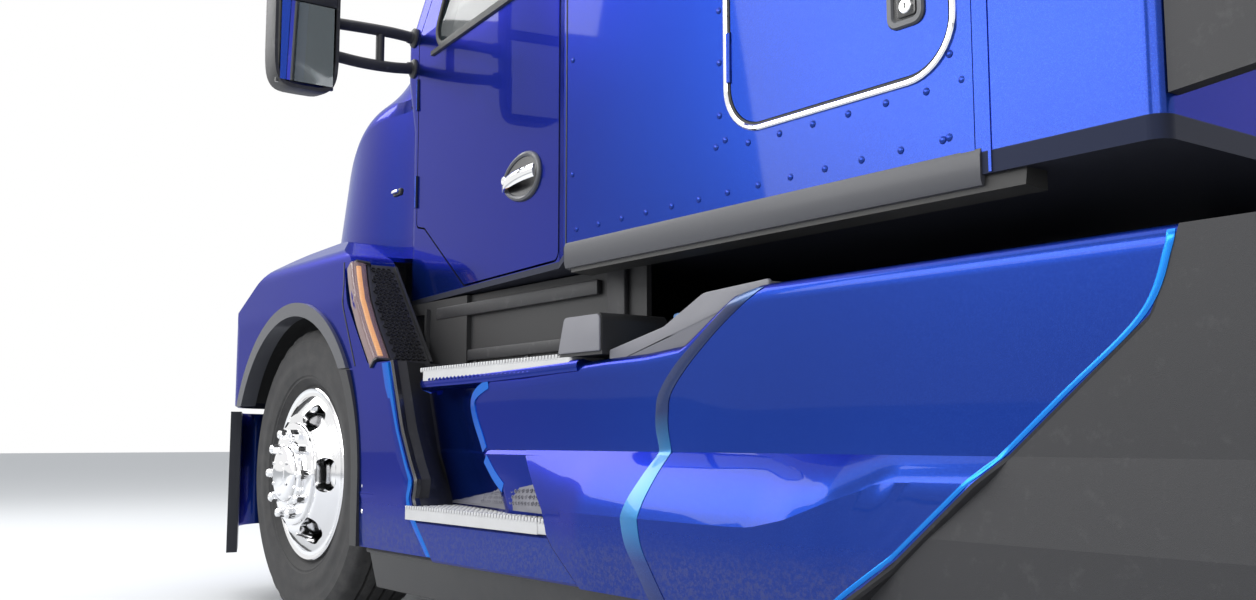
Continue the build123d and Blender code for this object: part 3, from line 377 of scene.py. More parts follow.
def smoothLine(points, steps=8):
    # a curve through all its points
    points = [Vector(p) for p in points]
    last = len(points) - 1
    line = []
    for i in range(last):
        a, b, c, d = (points[min(max(i + k, 0), last)] for k in (-1, 0, 1, 2))
        for k in range(steps):
            t = k / steps
            line.append(0.5 * (2 * b + (c - a) * t + (2 * a - 5 * b + 4 * c - d) * t * t
                               + (3 * b - a - 3 * c + d) * t * t * t))
    return line + [points[-1]]


def facing(point, outward, up=(0, 0, 1)):
    # a place whose z looks outward and whose y is nearly up
    z = Vector(outward).normalized()
    x = Vector(up).cross(z).normalized()
    place = Matrix((x, z.cross(x), z)).transposed().to_4x4()
    place.translation = Vector(point)
    return place


def put(x, y, z):
    return Matrix.Translation((x, y, z))


def spin(degrees, axis):
    return Matrix.Rotation(math.radians(degrees), 4, axis)


def turned(place, angle):
    return place @ spin(angle, "Z")


def onSide(y):
    # a place whose x and y run along the truck and up, at a distance to the left
    return put(0, y, 0) @ spin(90, "X")


def squared(value, power):
    # pushes a cosine or sine outward, for the corners of a rounded square
    return math.copysign(abs(value) ** power, value)


def inMetres(point):
    # from the maker's millimetres to the frame
    return Vector((axleX + point.x / 1000, point.y / 1000, point.z / 1000))


def linked(name, data):
    # a new object in the scene
    thing = bpy.data.objects.new(name, data)
    bpy.context.scene.collection.objects.link(thing)
    return thing


class Maker:
    # gathers the faces of one piece, each with the number of its finish
    def __init__(self):
        self.points, self.faces, self.finish = [], [], []

    def add(self, points, faces, place=None, finish=0):
        start = len(self.points)
        self.points += [place @ Vector(p) for p in points] if place else [Vector(p) for p in points]
        self.faces += [[start + i for i in face] for face in faces]
        self.finish += [finish] * len(faces)

    def take(self, mesh, place=None, finish=0):
        mesh.verts.index_update()
        self.add([v.co.copy() for v in mesh.verts], [[v.index for v in f.verts] for f in mesh.faces],
                 place, finish)
        mesh.free()

    def block(self, size, place, edge=2.0, finish=0, segments=2):
        mesh = bmesh.new()
        bmesh.ops.create_cube(mesh, size=1)
        bmesh.ops.scale(mesh, vec=size, verts=mesh.verts)
        bmesh.ops.bevel(mesh, geom=mesh.edges[:], offset=edge, segments=segments, profile=0.5,
                        affect="EDGES")
        self.take(mesh, place, finish)

    def span(self, low, high, edge=2.0, finish=0):
        # a block between two corners
        low, high = Vector(low), Vector(high)
        size = [abs(a - b) for a, b in zip(low, high)]
        self.block(size, Matrix.Translation((low + high) / 2), edge, finish)

    def prism(self, outline, depth, place, edge=0.0, finish=0):
        # an outline in its place's x and y, drawn up along z by the depth
        mesh = bmesh.new()
        ring = [mesh.verts.new((p[0], p[1], 0)) for p in outline]
        base = mesh.faces.new(ring)
        grown = bmesh.ops.extrude_face_region(mesh, geom=[base])
        top = [g for g in grown["geom"] if isinstance(g, bmesh.types.BMVert)]
        bmesh.ops.translate(mesh, vec=(0, 0, depth), verts=top)
        if edge:
            rims = [e for e in mesh.edges if abs(e.verts[0].co.z - e.verts[1].co.z) < 1e-6]
            bmesh.ops.bevel(mesh, geom=rims, offset=edge, segments=2, profile=0.5, affect="EDGES")
        self.take(mesh, place, finish)

    def lathe(self, rows, place, sides=48, finish=0, wave=None, closed=False):
        # rows of (radius, along), turned about the place's z
        points, faces, rings = [], [], []
        for number, (radius, along) in enumerate(rows):
            if radius == 0:
                rings.append([len(points)])
                points.append((0, 0, along))
                continue
            rings.append(list(range(len(points), len(points) + sides)))
            for i in range(sides):
                angle = math.tau * i / sides
                r = radius + (wave(number, i) if wave else 0)
                points.append((r * math.cos(angle), r * math.sin(angle), along))
        for low, high in zip(rings, rings[1:] + ([rings[0]] if closed else [])):
            for i in range(sides):
                j = (i + 1) % sides
                if len(low) == 1 and len(high) == 1:
                    continue
                if len(low) == 1:
                    faces.append((low[0], high[j], high[i]))
                elif len(high) == 1:
                    faces.append((low[i], low[j], high[0]))
                else:
                    faces.append((low[i], low[j], high[j], high[i]))
        self.add(points, faces, place, finish)

    def sweep(self, path, section, outward=None, finish=0, closed=False):
        # a section of (across, out) points drawn along a path; outward is a direction or one for each point
        count = len(path)
        path = [Vector(p) for p in path]
        points, faces = [], []
        normal = None
        for i, p in enumerate(path):
            before = path[i - 1] if (i or closed) else p
            after = path[(i + 1) % count] if (i < count - 1 or closed) else p
            tangent = (after - before).normalized()
            if outward is None:
                if normal is None:
                    normal = tangent.orthogonal().normalized()
                normal = (normal - tangent * normal.dot(tangent)).normalized()
            else:
                wanted = Vector(outward[i] if isinstance(outward, list) else outward)
                normal = (wanted - tangent * wanted.dot(tangent)).normalized()
            side = tangent.cross(normal)
            points += [p + side * a + normal * b for a, b in section]
        size = len(section)
        for i in range(count if closed else count - 1):
            j = (i + 1) % count
            for k in range(size):
                m = (k + 1) % size
                faces.append((i * size + k, i * size + m, j * size + m, j * size + k))
        if not closed:
            faces.append(tuple(range(size))[::-1])
            faces.append(tuple((count - 1) * size + k for k in range(size)))
        self.add(points, faces, None, finish)

    def tube(self, path, radius, sides=12, finish=0, closed=False):
        section = [(radius * math.cos(math.tau * k / sides), radius * math.sin(math.tau * k / sides))
                   for k in range(sides)]
        self.sweep(path, section, None, finish, closed)

    def sheet(self, rows, finish=0, thick=None):
        # a skin over rows of points, with a second skin behind it where a thickness is given
        width = len(rows[0])
        points = [Vector(p) for row in rows for p in row]
        faces = [(i * width + j, i * width + j + 1, (i + 1) * width + j + 1, (i + 1) * width + j)
                 for i in range(len(rows) - 1) for j in range(width - 1)]
        if thick:
            back = Vector(thick)
            shift = len(points)
            points += [p + back for p in points[:shift]]
            faces += [tuple(shift + k for k in face[::-1]) for face in faces]
            last = (len(rows) - 1) * width
            edge = list(range(width)) + [i * width + width - 1 for i in range(1, len(rows))]
            edge += list(range(last + width - 2, last - 1, -1))
            edge += [i * width for i in range(len(rows) - 2, 0, -1)]
            faces += [(a, a + shift, b + shift, b) for a, b in zip(edge, edge[1:] + edge[:1])]
        self.add(points, faces, None, finish)

    def domes(self, spots, radius, height, finish=0, sides=10):
        # low round heads; spots are (point, outward)
        rows = [(radius, -0.5), (radius, height * 0.15), (radius * 0.86, height * 0.6),
                (radius * 0.5, height * 0.92), (0, height)]
        for point, outward in spots:
            self.lathe(rows, facing(point, outward, (1, 0, 0.2)), sides, finish)

    def mirrored(self):
        other = Maker()
        other.points = [Vector((p.x, -p.y, p.z)) for p in self.points]
        other.faces = [face[::-1] for face in self.faces]
        other.finish = list(self.finish)
        return other

    def together(self, other):
        start = len(self.points)
        self.points += other.points
        self.faces += [[start + i for i in face] for face in other.faces]
        self.finish += other.finish
        return self


def piece(maker, name, body, finishes, angle=35, replaces=()):
    # makes the object, in metres, and hands it to the body that it moves with
    mesh = bpy.data.meshes.new(name)
    mesh.from_pydata([inMetres(p) for p in maker.points], [], maker.faces)
    for finish in finishes:
        mesh.materials.append(finish)
    mesh.polygons.foreach_set("material_index", maker.finish)
    work = bmesh.new()
    work.from_mesh(mesh)
    bmesh.ops.recalc_face_normals(work, faces=work.faces)
    work.to_mesh(mesh)
    work.free()
    mesh.shade_smooth()
    mesh.set_sharp_from_angle(angle=math.radians(angle))
    thing = linked(name, mesh)
    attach(thing, body)
    if replaces:
        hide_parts(*replaces)


def made(name, body, finishes, sides="one", angle=35, replaces=()):
    # turns the drawing below it into a piece: one as drawn, one with both sides, or a pair of pieces
    def make(draw):
        left = Maker()
        draw(left)
        if sides == "pair":
            piece(left, name + "_left", body.format("left"), finishes, angle, replaces)
            piece(left.mirrored(), name + "_right", body.format("right"), finishes, angle, replaces)
        else:
            whole = left.mirrored().together(left) if sides == "both" else left
            piece(whole, name, body, finishes, angle, replaces)
        return draw
    return make


cadFinishes = {
    "frame_rails": framePaint, "front_axle": axleIron, "drive_axles": axleIron,
    "rear_suspension": axleIron, "engine_block": engineIron, "cab_shell": cabPaint,
    "sleeper_shell": sleeperPaint, "windshield": darkGlass, "cab_interior": interiorPlastic,
    "seats": seatCloth, "step_wells": wellPlastic, "step_treads": treadMetal,
    "side_skirts": skirtPaint, "tail_fairings": tailPlastic, "lower_lips": lipRubber,
    "fuel_tanks": tankMetal, "side_extenders": tailPlastic, "mirrors": blackPlastic,
    "mirror_glasses": mirrorGlass, "bumper": bluePaint, "bumper_ends": darkGreyPlastic,
    "fog_lamps": lampGlass, "deck_plate": deckMetal, "fifth_wheel_base": axleIron,
    "mud_flaps": tyreRubber, "tail_lamps": redLens, "exhaust_stack": stackSteel,
    "hood_shell": hoodPaint, "grille": chrome, "headlamps": lampGlass, "arch_flares": darkGreyPlastic,
    "side_lamps": amberLens, "knuckle_left": axleIron, "knuckle_right": axleIron, "tie_rod": axleIron,
    "door_left": cabPaint, "door_right": cabPaint, "door_glass_left": darkGlass,
    "door_glass_right": darkGlass, "luggage_door_left": cabPaint, "luggage_door_right": cabPaint,
    "fifth_wheel_plate": greaseSteel, "steering_wheel": interiorPlastic,
}
for name, node in nodes.items():
    finish = cadFinishes.get(name)
    if finish is None:
        finish = tyreRubber if "tyre" in name else polishedRim
    node.data.materials.clear()
    node.data.materials.append(finish)
print("frame dressed:", len(nodes), "nodes")


wheel = {
    "radius": 510, "treadHalf": 112, "grooves": (-66, -22, 22, 66), "grooveHalf": 6, "grooveDeep": 13,
    "crown": 3.5, "nutCircle": 142.75, "nuts": 10, "face": 172,
    "tracks": {"front": 1050, "inner": 741, "outer": 1085}, "drive": {"drive1": -4640, "drive2": -5960},
}


def tyreRows():
    # (radius, along, kind): the kind says how the tread is cut there
    half = [("side", [(294, -104), (308, -107), (316, -116), (330, -127), (334, -133), (341, -133),
                      (346, -138), (372, -142.5), (376, -144), (398, -144.8)]),
            ("band", [(402, -143.6), (436, -143)]),
            ("side", [(440, -143.8), (462, -140), (466, -141), (476, -137)]),
            ("shoulder", [(484, -133), (497, -127), (504, -120)])]
    rows = [(r, y, kind) for kind, spots in half for r, y in spots]
    edges = [-wheel["treadHalf"]]
    for g in wheel["grooves"]:
        edges += [g - wheel["grooveHalf"], g + wheel["grooveHalf"]]
    edges.append(wheel["treadHalf"])
    deep = wheel["radius"] - wheel["grooveDeep"]
    tread = []
    for number in range(0, len(edges), 2):
        a, b = edges[number:number + 2]
        for y in (a, (a + b) / 2, b):
            crown = wheel["crown"] * (y / wheel["treadHalf"]) ** 2
            tread.append((wheel["radius"] - crown, y, "rib%d" % (number // 2)))
        if number + 2 < len(edges):
            tread += [(deep, b + 2, "groove"), (deep, edges[number + 2] - 2, "groove")]
    return rows + tread + [(r, -y, kind) for r, y, kind in reversed(rows)]


def tyreWave(rows, lugs):
    # cuts in the shoulders, fine marks on the side band, and lugs on a drive tyre or sipes on a steer tyre
    def wave(number, i):
        kind = rows[number][2]
        if kind == "shoulder":
            return -4.0 if i % 5 < 2 else 0.0
        if kind == "band":
            return 0.9 if i % 2 else 0.0
        if kind.startswith("rib"):
            rib = int(kind[3:])
            if lugs:
                return -11.0 if (i + 2 * rib) % 6 == 0 else 0.0
            return -3.0 if (rib in (0, 4) and i % 5 == 0) else 0.0
        return 0.0
    return wave


def wheelPlace(x, y, side):
    # z looks out of the truck's side
    return put(x, y, wheel["radius"]) @ spin(-side * 90, "X")


def addTyre(maker, place, lugs, sides=180):
    rows = tyreRows()
    maker.lathe([(r, y) for r, y, kind in rows], place, sides, wave=tyreWave(rows, lugs))


def addNuts(maker, place, circle, count, seat, length, covered=True):
    # hexagonal covers, each on its flanged foot, or bare nuts with the ends of their studs
    rows = [(20, 0), (20, 3), (16, 5), (16, length - 3), (13, length), (9, length), (9, length + 8),
            (7, length + 10), (0, length + 10)]
    if covered:
        rows = [(23, 0), (23, 3), (21, 7), (17.5, 10), (16, 13), (16, length - 14), (15.2, length - 8),
                (12.5, length - 3), (8, length - 0.8), (0, length)]

    def hexagon(number, i):
        return 1.3 * math.cos(math.tau * i / 4) if 4 <= number <= 6 else 0.0
    for k in range(count):
        maker.lathe(rows, turned(place, 360 / count * k) @ put(circle, 0, seat), 24, wave=hexagon)


def steerHub(place):
    # the nuts' covers, the hub's cover with its screws, and the valve stem
    maker = Maker()
    face = wheel["face"]
    addNuts(maker, place, wheel["nutCircle"], wheel["nuts"], face, 50)
    for rows in ([(112, -2), (112, 9), (116, 12), (168, 12), (176, 9), (180, 2), (180, -2)],
                 [(109, 2), (109, 22), (106, 27), (99, 29), (97, 31), (96, 40), (92, 46), (82, 51), (60, 54),
                  (42, 55), (40, 57), (20, 58.5), (0, 59)]):
        maker.lathe([(r, face + out) for r, out in rows], place, 72)
    for k in range(6):
        spot = turned(place, 60 * k + 30) @ put(70, 0, face + 52)
        maker.lathe([(6, -1), (6, 3.5), (4.5, 5.5), (0, 5.5)], spot, 6)
    stem = turned(place, 105)
    path = [stem @ at(222 + out, 0, along) for out, along in ((10, 118), (0, 150), (-8, 182))]
    maker.tube(smoothLine(path, 5), 5, 10)
    return maker


def rimRings(place):
    # the polished lip
    maker = Maker()
    maker.lathe([(300.5, 112), (302, 118.5), (298, 121.5), (290, 120.5), (282, 117), (276, 112),
                 (290, 108)], place, 96, closed=True)
    return maker


def driveHub(place):
    # the axle's flange with its studs, inside the outer wheel's dish
    maker = Maker()
    mate = wheel["face"]
    addNuts(maker, place, wheel["nutCircle"], wheel["nuts"], mate + 22, 34, False)
    end = mate + 190
    maker.lathe([(r, end + out) for r, out in ((89, -24), (96, -22), (96, -6), (92, -2), (60, 1), (44, 3),
                                               (30, 8), (0, 9))], place, 60)
    addNuts(maker, place, 76, 8, end - 3, 8, False)
    maker.lathe([(r, mate + out) for r, out in ((118, 20), (118, 26), (122, 28), (170, 28), (176, 24),
                                                (176, 20))], place, 60)
    return maker


print("wheels")
for side, sign in (("left", 1), ("right", -1)):
    tracks = wheel["tracks"]
    place = wheelPlace(0, sign * tracks["front"], sign)
    tyre = Maker()
    addTyre(tyre, place, False)
    body = "wheel_front_" + side
    piece(tyre, "steerTyre_" + side, body, [tyreRubber], 30, ["front_%s_tyre" % side])
    piece(steerHub(place), "steerHubCover_" + side, body, [chrome], 32)
    piece(rimRings(place), "steerRimLip_" + side, body, [polishedRim])
    for axle, x in wheel["drive"].items():
        inner, outer = (wheelPlace(x, sign * tracks[row], sign) for row in ("inner", "outer"))
        twin = Maker()
        addTyre(twin, inner, True, 150)
        addTyre(twin, outer, True)
        body = "wheels_%s_%s" % (axle, side)
        piece(twin, "%sTyres_%s" % (axle, side), body, [tyreRubber], 30,
              ["%s_%s_tyres" % (axle, side)])
        hub = driveHub(inner).together(rimRings(outer))
        piece(hub, "%sHubs_%s" % (axle, side), body, [polishedRim], 32)


print("doors and sleeper")

sideShape = {"cowlY": 975, "rearY": 1092, "cowlX": -310, "rearX": -1490, "sleeperY": 1150}


def doorY(x):
    share = (x - sideShape["cowlX"]) / (sideShape["rearX"] - sideShape["cowlX"])
    return sideShape["cowlY"] + (sideShape["rearY"] - sideShape["cowlY"]) * share


doorOutward = Vector((117, 1180, 0)).normalized()


def onDoor(x, z, out=0.0):
    return at(x, doorY(x), z) + doorOutward * out


doorHandle = {"x": -1262, "z": 1368, "width": 238, "height": 132}


@made("doorHandle", "door_{}", [darkGreyPlastic, glossBlack, chrome], "pair")
def handlePiece(maker):
    # a round bezel with a dished floor, a chrome bar across it and a lock
    place = facing(onDoor(doorHandle["x"], doorHandle["z"]), doorOutward)
    w, h = doorHandle["width"] / 2, doorHandle["height"] / 2
    # an egg-shaped bezel: taller towards the rear
    egg = [(w * math.cos(t), h * math.sin(t) * (1.0 + 0.16 * math.cos(t)))
           for t in (math.tau * k / 48 for k in range(48))]
    ring = [place @ Vector((a * 0.93, b * 0.93, 1)) for a, b in egg]
    section = [(-9, -4), (9, -4), (9, 1), (6, 6), (0, 8), (-6, 6), (-9, 1)]
    maker.sweep(ring, section, doorOutward, closed=True)
    rows = []
    for k in range(7):
        r = k / 6
        rows.append([place @ Vector((a * 0.92 * r, b * 0.92 * r, 1.5 + 3 * r * r)) for a, b in egg + egg[:1]])
    maker.sheet(rows, 1)
    bar = [place @ Vector((x, -4 + 0.06 * x, z)) for x, z in
           ((-w * 0.94, 6), (-w * 0.6, 19), (-w * 0.1, 25), (w * 0.4, 23), (w * 0.86, 14))]
    flat = [(-17, -3), (17, -3), (19, 1), (14, 5), (0, 7), (-14, 5), (-19, 1)]
    maker.sweep(smoothLine(bar), flat, doorOutward, 2)
    lock = place @ put(-w * 0.62, 0, 21)
    maker.lathe([(13, 0), (13, 4), (11, 6), (5, 6), (4, 5), (0, 5)], lock, 24, 2)


@made("windowTrim", "door_{}", [sealRubber, blackPlastic], "pair")
def doorTrim(maker):
    # the rubber round the window, which leans in with the glass, and the belt below it
    rows = [(-575, 1935, 50), (-1045, 2735, 50), (-1428, 2735, 50), (-1428, 1935, 50)]
    lean = []
    for x, z in rounded(rows, 8):
        inward = max(0, (z - 2010) / 840) * 34
        lean.append(at(x, doorY(x) - inward, z) + doorOutward * 1.5)
    maker.sweep(lean, [(-16, -2), (4, -2), (4, 4), (0, 6), (-12, 6), (-16, 3)], doorOutward, closed=True)
    belt = [onDoor(x, 1922, 3) for x in range(-560, -1450, -60)]
    maker.sweep(belt, [(-9, -3), (9, -3), (7, 5), (-7, 5)], doorOutward, 1)


latch = {"x": -2748, "low": 1385, "high": 1590, "width": 84}


@made("luggageLatch", "luggage_door_{}",
      [darkGreyPlastic, glossBlack, chrome, plainSteel], "pair")
def latchPiece(maker):
    # a paddle latch: frame, sunken tray, paddle and a round key lock
    y = sideShape["sleeperY"]
    w = latch["width"] / 2
    middle = (latch["low"] + latch["high"]) / 2
    place = facing(at(latch["x"], y, middle), (0, 1, 0))
    h = (latch["high"] - latch["low"]) / 2
    frameLine = [place @ Vector((p[0], p[1], 0)) for p in rounded(
        [(-w + 6, -h + 6, 16), (w - 6, -h + 6, 16), (w - 6, h - 6, 16), (-w + 6, h - 6, 16)])]
    maker.sweep(frameLine, [(-8, -2), (8, -2), (8, 3), (5, 7), (-5, 7), (-8, 3)], (0, 1, 0), closed=True)
    maker.prism(rounded([(-w + 8, -h + 8, 10), (w - 8, -h + 8, 10), (w - 8, h - 8, 10),
                         (-w + 8, h - 8, 10)]), 2.5, place, 0.5, 1)
    paddle = rounded([(-w + 26, -h + 16, 6), (w - 14, -h + 16, 6), (w - 14, h - 30, 6),
                      (-w + 26, h - 30, 6)])
    maker.prism(paddle, 8, place, 2, 1)
    lock = place @ put(8, -h + 34, 8)
    maker.lathe([(14, 0), (14, 5), (12, 7), (6, 7), (5, 5.5), (0, 5.5)], lock, 28, 2)
    maker.block((3, 12, 2), lock @ put(0, 0, 6), 0.5, 1)
    maker.block((26, 34, 6), place @ put(8, -h + 74, 9), 2, 3)


luggage = {"x": (-2250, -2850), "z": (1285, 1900), "corner": 100}


def luggageLine(grow, out=0.0):
    # the lid's outline, grown by a margin
    (x0, x1), (z0, z1) = luggage["x"], luggage["z"]
    r = luggage["corner"] + grow
    rows = [(x0 + grow, z0 - grow, r), (x0 + grow, z1 + grow, r), (x1 - grow, z1 + grow, r),
            (x1 - grow, z0 - grow, r)]
    return [at(p[0], sideShape["sleeperY"] + out, p[1]) for p in rounded(rows, 10)]


@made("luggageTrims", "chassis", [chrome, sealRubber], "both")
def luggageTrim(maker):
    # a chrome frame round the opening, and the seal between it and the lid
    frameSection = [(-6, -2), (6, -2), (6, 3), (3, 6.5), (-3, 6.5), (-6, 3)]
    maker.sweep(luggageLine(7, 1), frameSection, (0, 1, 0), closed=True)
    maker.sweep(luggageLine(-1), [(-3, -3), (3, -3), (3, 1.5), (-3, 1.5)], (0, 1, 0), 1, closed=True)


@made("sleeperRivets", "chassis", [bluePaint], "both")
def sleeperRivets(maker):
    # along the sill, the rear seam, the lid's frame and the roof line
    y = sideShape["sleeperY"]
    spots = [at(-1660 - 97 * k, y, 1156) for k in range(13)]
    spots += [at(-2838 - (6 if k % 2 else 0), y, 1158 + 150 * k) for k in range(12)]
    spots += [at(-2870, y, 1100 + 155 * k) for k in range(1, 12)]
    for k in range(6):
        spots.append(at(-2310 - 96 * k, y, 1252))
    for k in range(5):
        spots.append(at(-2218, y, 1330 + 118 * k))
        spots.append(at(-1640, y, 1300 + 300 * k))
    spots += [at(-2236, y, 1272), at(-2205, y, 1262), at(-2310 - 96 * 5, y, 1930)]
    spots += [at(-2310 - 96 * k, y, 1932) for k in range(6)]
    spots += [at(-1660 - 97 * k, y - 1.5, 2120) for k in range(17)]
    maker.domes([(p, (0, 1, 0)) for p in spots], 7.5, 3.4)


@made("sleeperSills", "chassis", [sillPlastic, bluePaint, sealRubber], "both")
def sleeperSeams(maker):
    # lapped joints and the grey sill below the body
    y = sideShape["sleeperY"]
    for x, low, half, top, high, finish in ((-2924, 1082, 3, 3, 3.2, 1), (-2878, 1082, 16, 15, 2.4, 1),
                                            (-1612, 1084, 2, 2, 2.2, 2)):
        maker.sweep([at(x, y - 1, z) for z in (low, 1600, 2010)],
                    [(-half, 0), (half, 0), (top, high), (-top, high)], (0, 1, 0), finish)
    sill = [(-34, -10), (-34, 3), (-22, 6), (20, 6), (30, 2), (34, -10)]
    maker.sweep([at(x, y - 2, 1092) for x in (-1610, -2200, -2905)], sill, (0, 1, 0))
    maker.sweep([at(x, y - 30, 1072) for x in (-1630, -2200, -2990)],
                [(-26, -34), (-26, 18), (22, 26), (26, -34)], (0, 1, 0), 2)


print("fenders")

fender = {"y": 1235, "bendZ": 1075, "lean": 0.28, "low": (-664, 869), "high": (-389, 1205)}


def fenderY(z):
    # the fender's side leans in above its bend
    return fender["y"] - max(0, z - fender["bendZ"]) * fender["lean"]


def rearEdge(share):
    # a point on the fender's slanted rear edge, from the top down
    (x0, z0), (x1, z1) = fender["high"], fender["low"]
    z = z0 + (z1 - z0) * share
    soft = 6 * math.exp(-((z - fender["bendZ"]) / 60) ** 2)
    return at(x0 + (x1 - x0) * share, fenderY(z) - 30 - soft, z)


rearOut = Vector((-0.774, 0, 0.633))
lampLook = {
    "housing": [(-20, -10), (-20, 4), (-15, 8), (30, 8), (35, 3), (35, -26), (29, -26), (27, -10)],
    "bar": [(0, 7), (17, 7), (16, 12), (8, 14), (1, 12)],
    "lens": [(-17, 6), (-15, 14), (-6, 17), (20, 17), (31, 12), (35.5, 2), (35.5, -20), (33, -20),
             (31.5, 0), (26, 9), (18, 14.5), (-5, 14.5), (-12, 12), (-14.5, 6)],
}


@made("fenderLamps", "hood", [reflector, amberLens, roseLens, blackPlastic], "both",
      replaces=["side_lamps"])
def fenderLampPiece(maker):
    # a glowing bar under a clear lens that wraps round the fender's corner
    line = [rearEdge(k / 26) for k in range(27)]
    maker.sweep(line, lampLook["housing"], rearOut)
    maker.sweep(line[1:-1], lampLook["bar"], rearOut, 1)
    maker.sweep(line, lampLook["lens"], rearOut, 2)
    for end, step in ((line[0], -8), (line[-1], 8)):
        rim = [end, end + (line[-1] - line[0]).normalized() * step]
        maker.sweep(rim, [(-22, -10), (-22, 14), (-15, 19), (30, 18), (37, 8), (37, -26)], rearOut, 3)


@made("ribbedPanels", "hood", [blackPlastic], "both")
def ribbedPanel(maker):
    # rows of hollow cells on the black plate that closes the back of the fender
    slope = rearEdge(1) - rearEdge(0)
    slope.y = 0
    count = int(slope.length / 17)
    plate = []
    for k in range(13):
        p = rearEdge(-0.02 + 1.05 * k / 12) + rearOut * 2
        plate.append([at(p.x, y, p.z) for y in (1042, p.y - 24)])
    maker.sheet(plate, thick=-rearOut * 5)
    for i in range(1, count):
        p = rearEdge(i / count) + rearOut * 2
        for j in range(8):
            y = 1062 + 18.5 * j + (9 if i % 2 else 0)
            if y < p.y - 42:
                maker.lathe([(9.4, 0), (9.0, 6), (7.2, 6), (6.8, 0)], facing((p.x, y, p.z), rearOut), 6)
    for inset in (26, 0):
        line = [rearEdge(k / 10) + rearOut * 2 for k in range(11)]
        line = [at(p.x, p.y - inset if inset else 1042, p.z) for p in line]
        maker.sweep(line, [(-5, -3), (5, -3), (4, 9), (-4, 9)], rearOut)


@made("fenderSeams", "hood", [sealRubber], "both")
def fenderSeam(maker):
    # the line between the fender's side and the corner that carries the lamp
    line = smoothLine([(x, 0, z) for x, z in ((-318, 1222), (-372, 1140), (-440, 1010), (-520, 862))])
    line = [at(p.x, fenderY(p.z) + 0.5, p.z) for p in line]
    maker.sweep(line, [(-2.5, -4), (2.5, -4), (2.5, 0.8), (-2.5, 0.8)], (0, 1, 0))


archLiner = {"radius": 586, "x": 15, "z": 512, "from": 26, "to": 147, "inner": 462, "outer": 1214}


@made("archLiners", "hood", [linerPlastic], "both")
def archPiece(maker):
    # the dark liner under the fender, pressed in ribs
    a = archLiner
    angles = [math.radians(a["from"] + (a["to"] - a["from"]) * k / 36) for k in range(37)]
    middle, half = (a["inner"] + a["outer"]) / 2, (a["outer"] - a["inner"]) / 2
    out = [Vector((math.cos(t), 0, math.sin(t))) for t in angles]
    path = [at(a["x"], middle, a["z"]) + o * a["radius"] for o in out]
    line = [(-half, 0)]
    for n in range(5):
        s = 70 - half + 130 * n
        line += [(s, 0), (s + 12, 7), (s + 58, 7), (s + 70, 0)]
    line.append((half, 0))
    maker.sweep(path, line + [(c, h + 4) for c, h in reversed(line)], out)


@made("fenderFolds", "chassis", [skirtPaint, chrome], "both")
def creasePiece(maker):
    # a pressed fold across the fender's lower panel, and the two screws at its front edge
    rows = []
    for k in range(19):
        t = k / 18
        x = -584 - 262 * t
        rise = 1.0 if t < 0.1 else max(0.0, 1 - t) ** 0.6
        rows.append([at(x, fender["y"] + 0.3 + h * rise, z) for z, h in
                     ((482, -2), (476, 1.5), (468, 5), (460, 5.4), (446, 3.4), (424, 0.2), (415, -2))])
    maker.sheet(rows)
    maker.domes([((-602, 1235, z), (0, 1, 0)) for z in (486, 408)], 9, 5, 1, 16)


print("steps and skirts")

steps = {"high": 830, "low": 430, "highEdge": 1195, "lowEdge": 1248}


def addTread(maker, z, edge, start, end, split):
    # a pressed plate with a toothed lip and rows of raised cups
    maker.span(at(end, 1015, z), at(split + 3, edge - 2, z + 5), 1.5)
    maker.span(at(split - 3, 1015, z), at(start - 20, edge - 2, z + 5), 1.5)
    x = start - 24
    while x > end + 6:
        maker.block((9, 8, 13), put(x, edge - 3, z + 3), 1.5)
        x -= 15
    for row in range(7):
        x = start - 40 - (12 if row % 2 else 0)
        while x > end + 14:
            if abs(x - split) > 14:
                cup = put(x, edge - 24 - row * 24, z + 4.5)
                maker.lathe([(8.2, 0), (7.2, 4), (5.2, 4), (4.6, 0.6)], cup, 10)
            x -= 25


@made("stepPlates", "chassis", [treadMetal], "both", 30)
def stepsPiece(maker):
    addTread(maker, steps["high"], steps["highEdge"], -880, -1650, -1390)
    addTread(maker, steps["low"], steps["lowEdge"], -905, -1690, -1640)
    # the low step's closed end
    maker.span(at(-1639, 1100, 401), at(-1700, 1247, 430), 2)


@made("toePlates", "chassis", [shadedToePlateMetal], "both", 30)
def toePlate(maker):
    # the dimpled plate that slopes up behind the low step, in a darker metal as painted shade
    near = [at(-938, 1102, 450), at(-1200, 1150, 452), at(-1450, 1198, 453), at(-1706, 1240, 455)]
    far = [at(-930, 1086, 452), at(-1180, 1124, 484), at(-1389, 1188, 508), at(-1680, 1196, 524)]
    near, far = smoothLine(near, 4), smoothLine(far, 4)
    maker.sheet([near, far], thick=(0, 0, -6))
    for i in range(1, 44):
        for j in range(1, 4):
            t = (i + (0.5 if j % 2 else 0)) / 45 * (len(near) - 1)
            a, b = (line[int(t)].lerp(line[int(t) + 1], t % 1) for line in (near, far))
            if (b - a).length > 44:
                up = (b - a).normalized().cross(Vector((1, 0, 0)))
                spot = facing(a.lerp(b, j / 4), up if up.z > 0 else -up, (0, 1, 0))
                maker.lathe([(5.6, 0), (4.8, 2.4), (3.4, 2.4), (2.8, 0.4)], spot, 9)


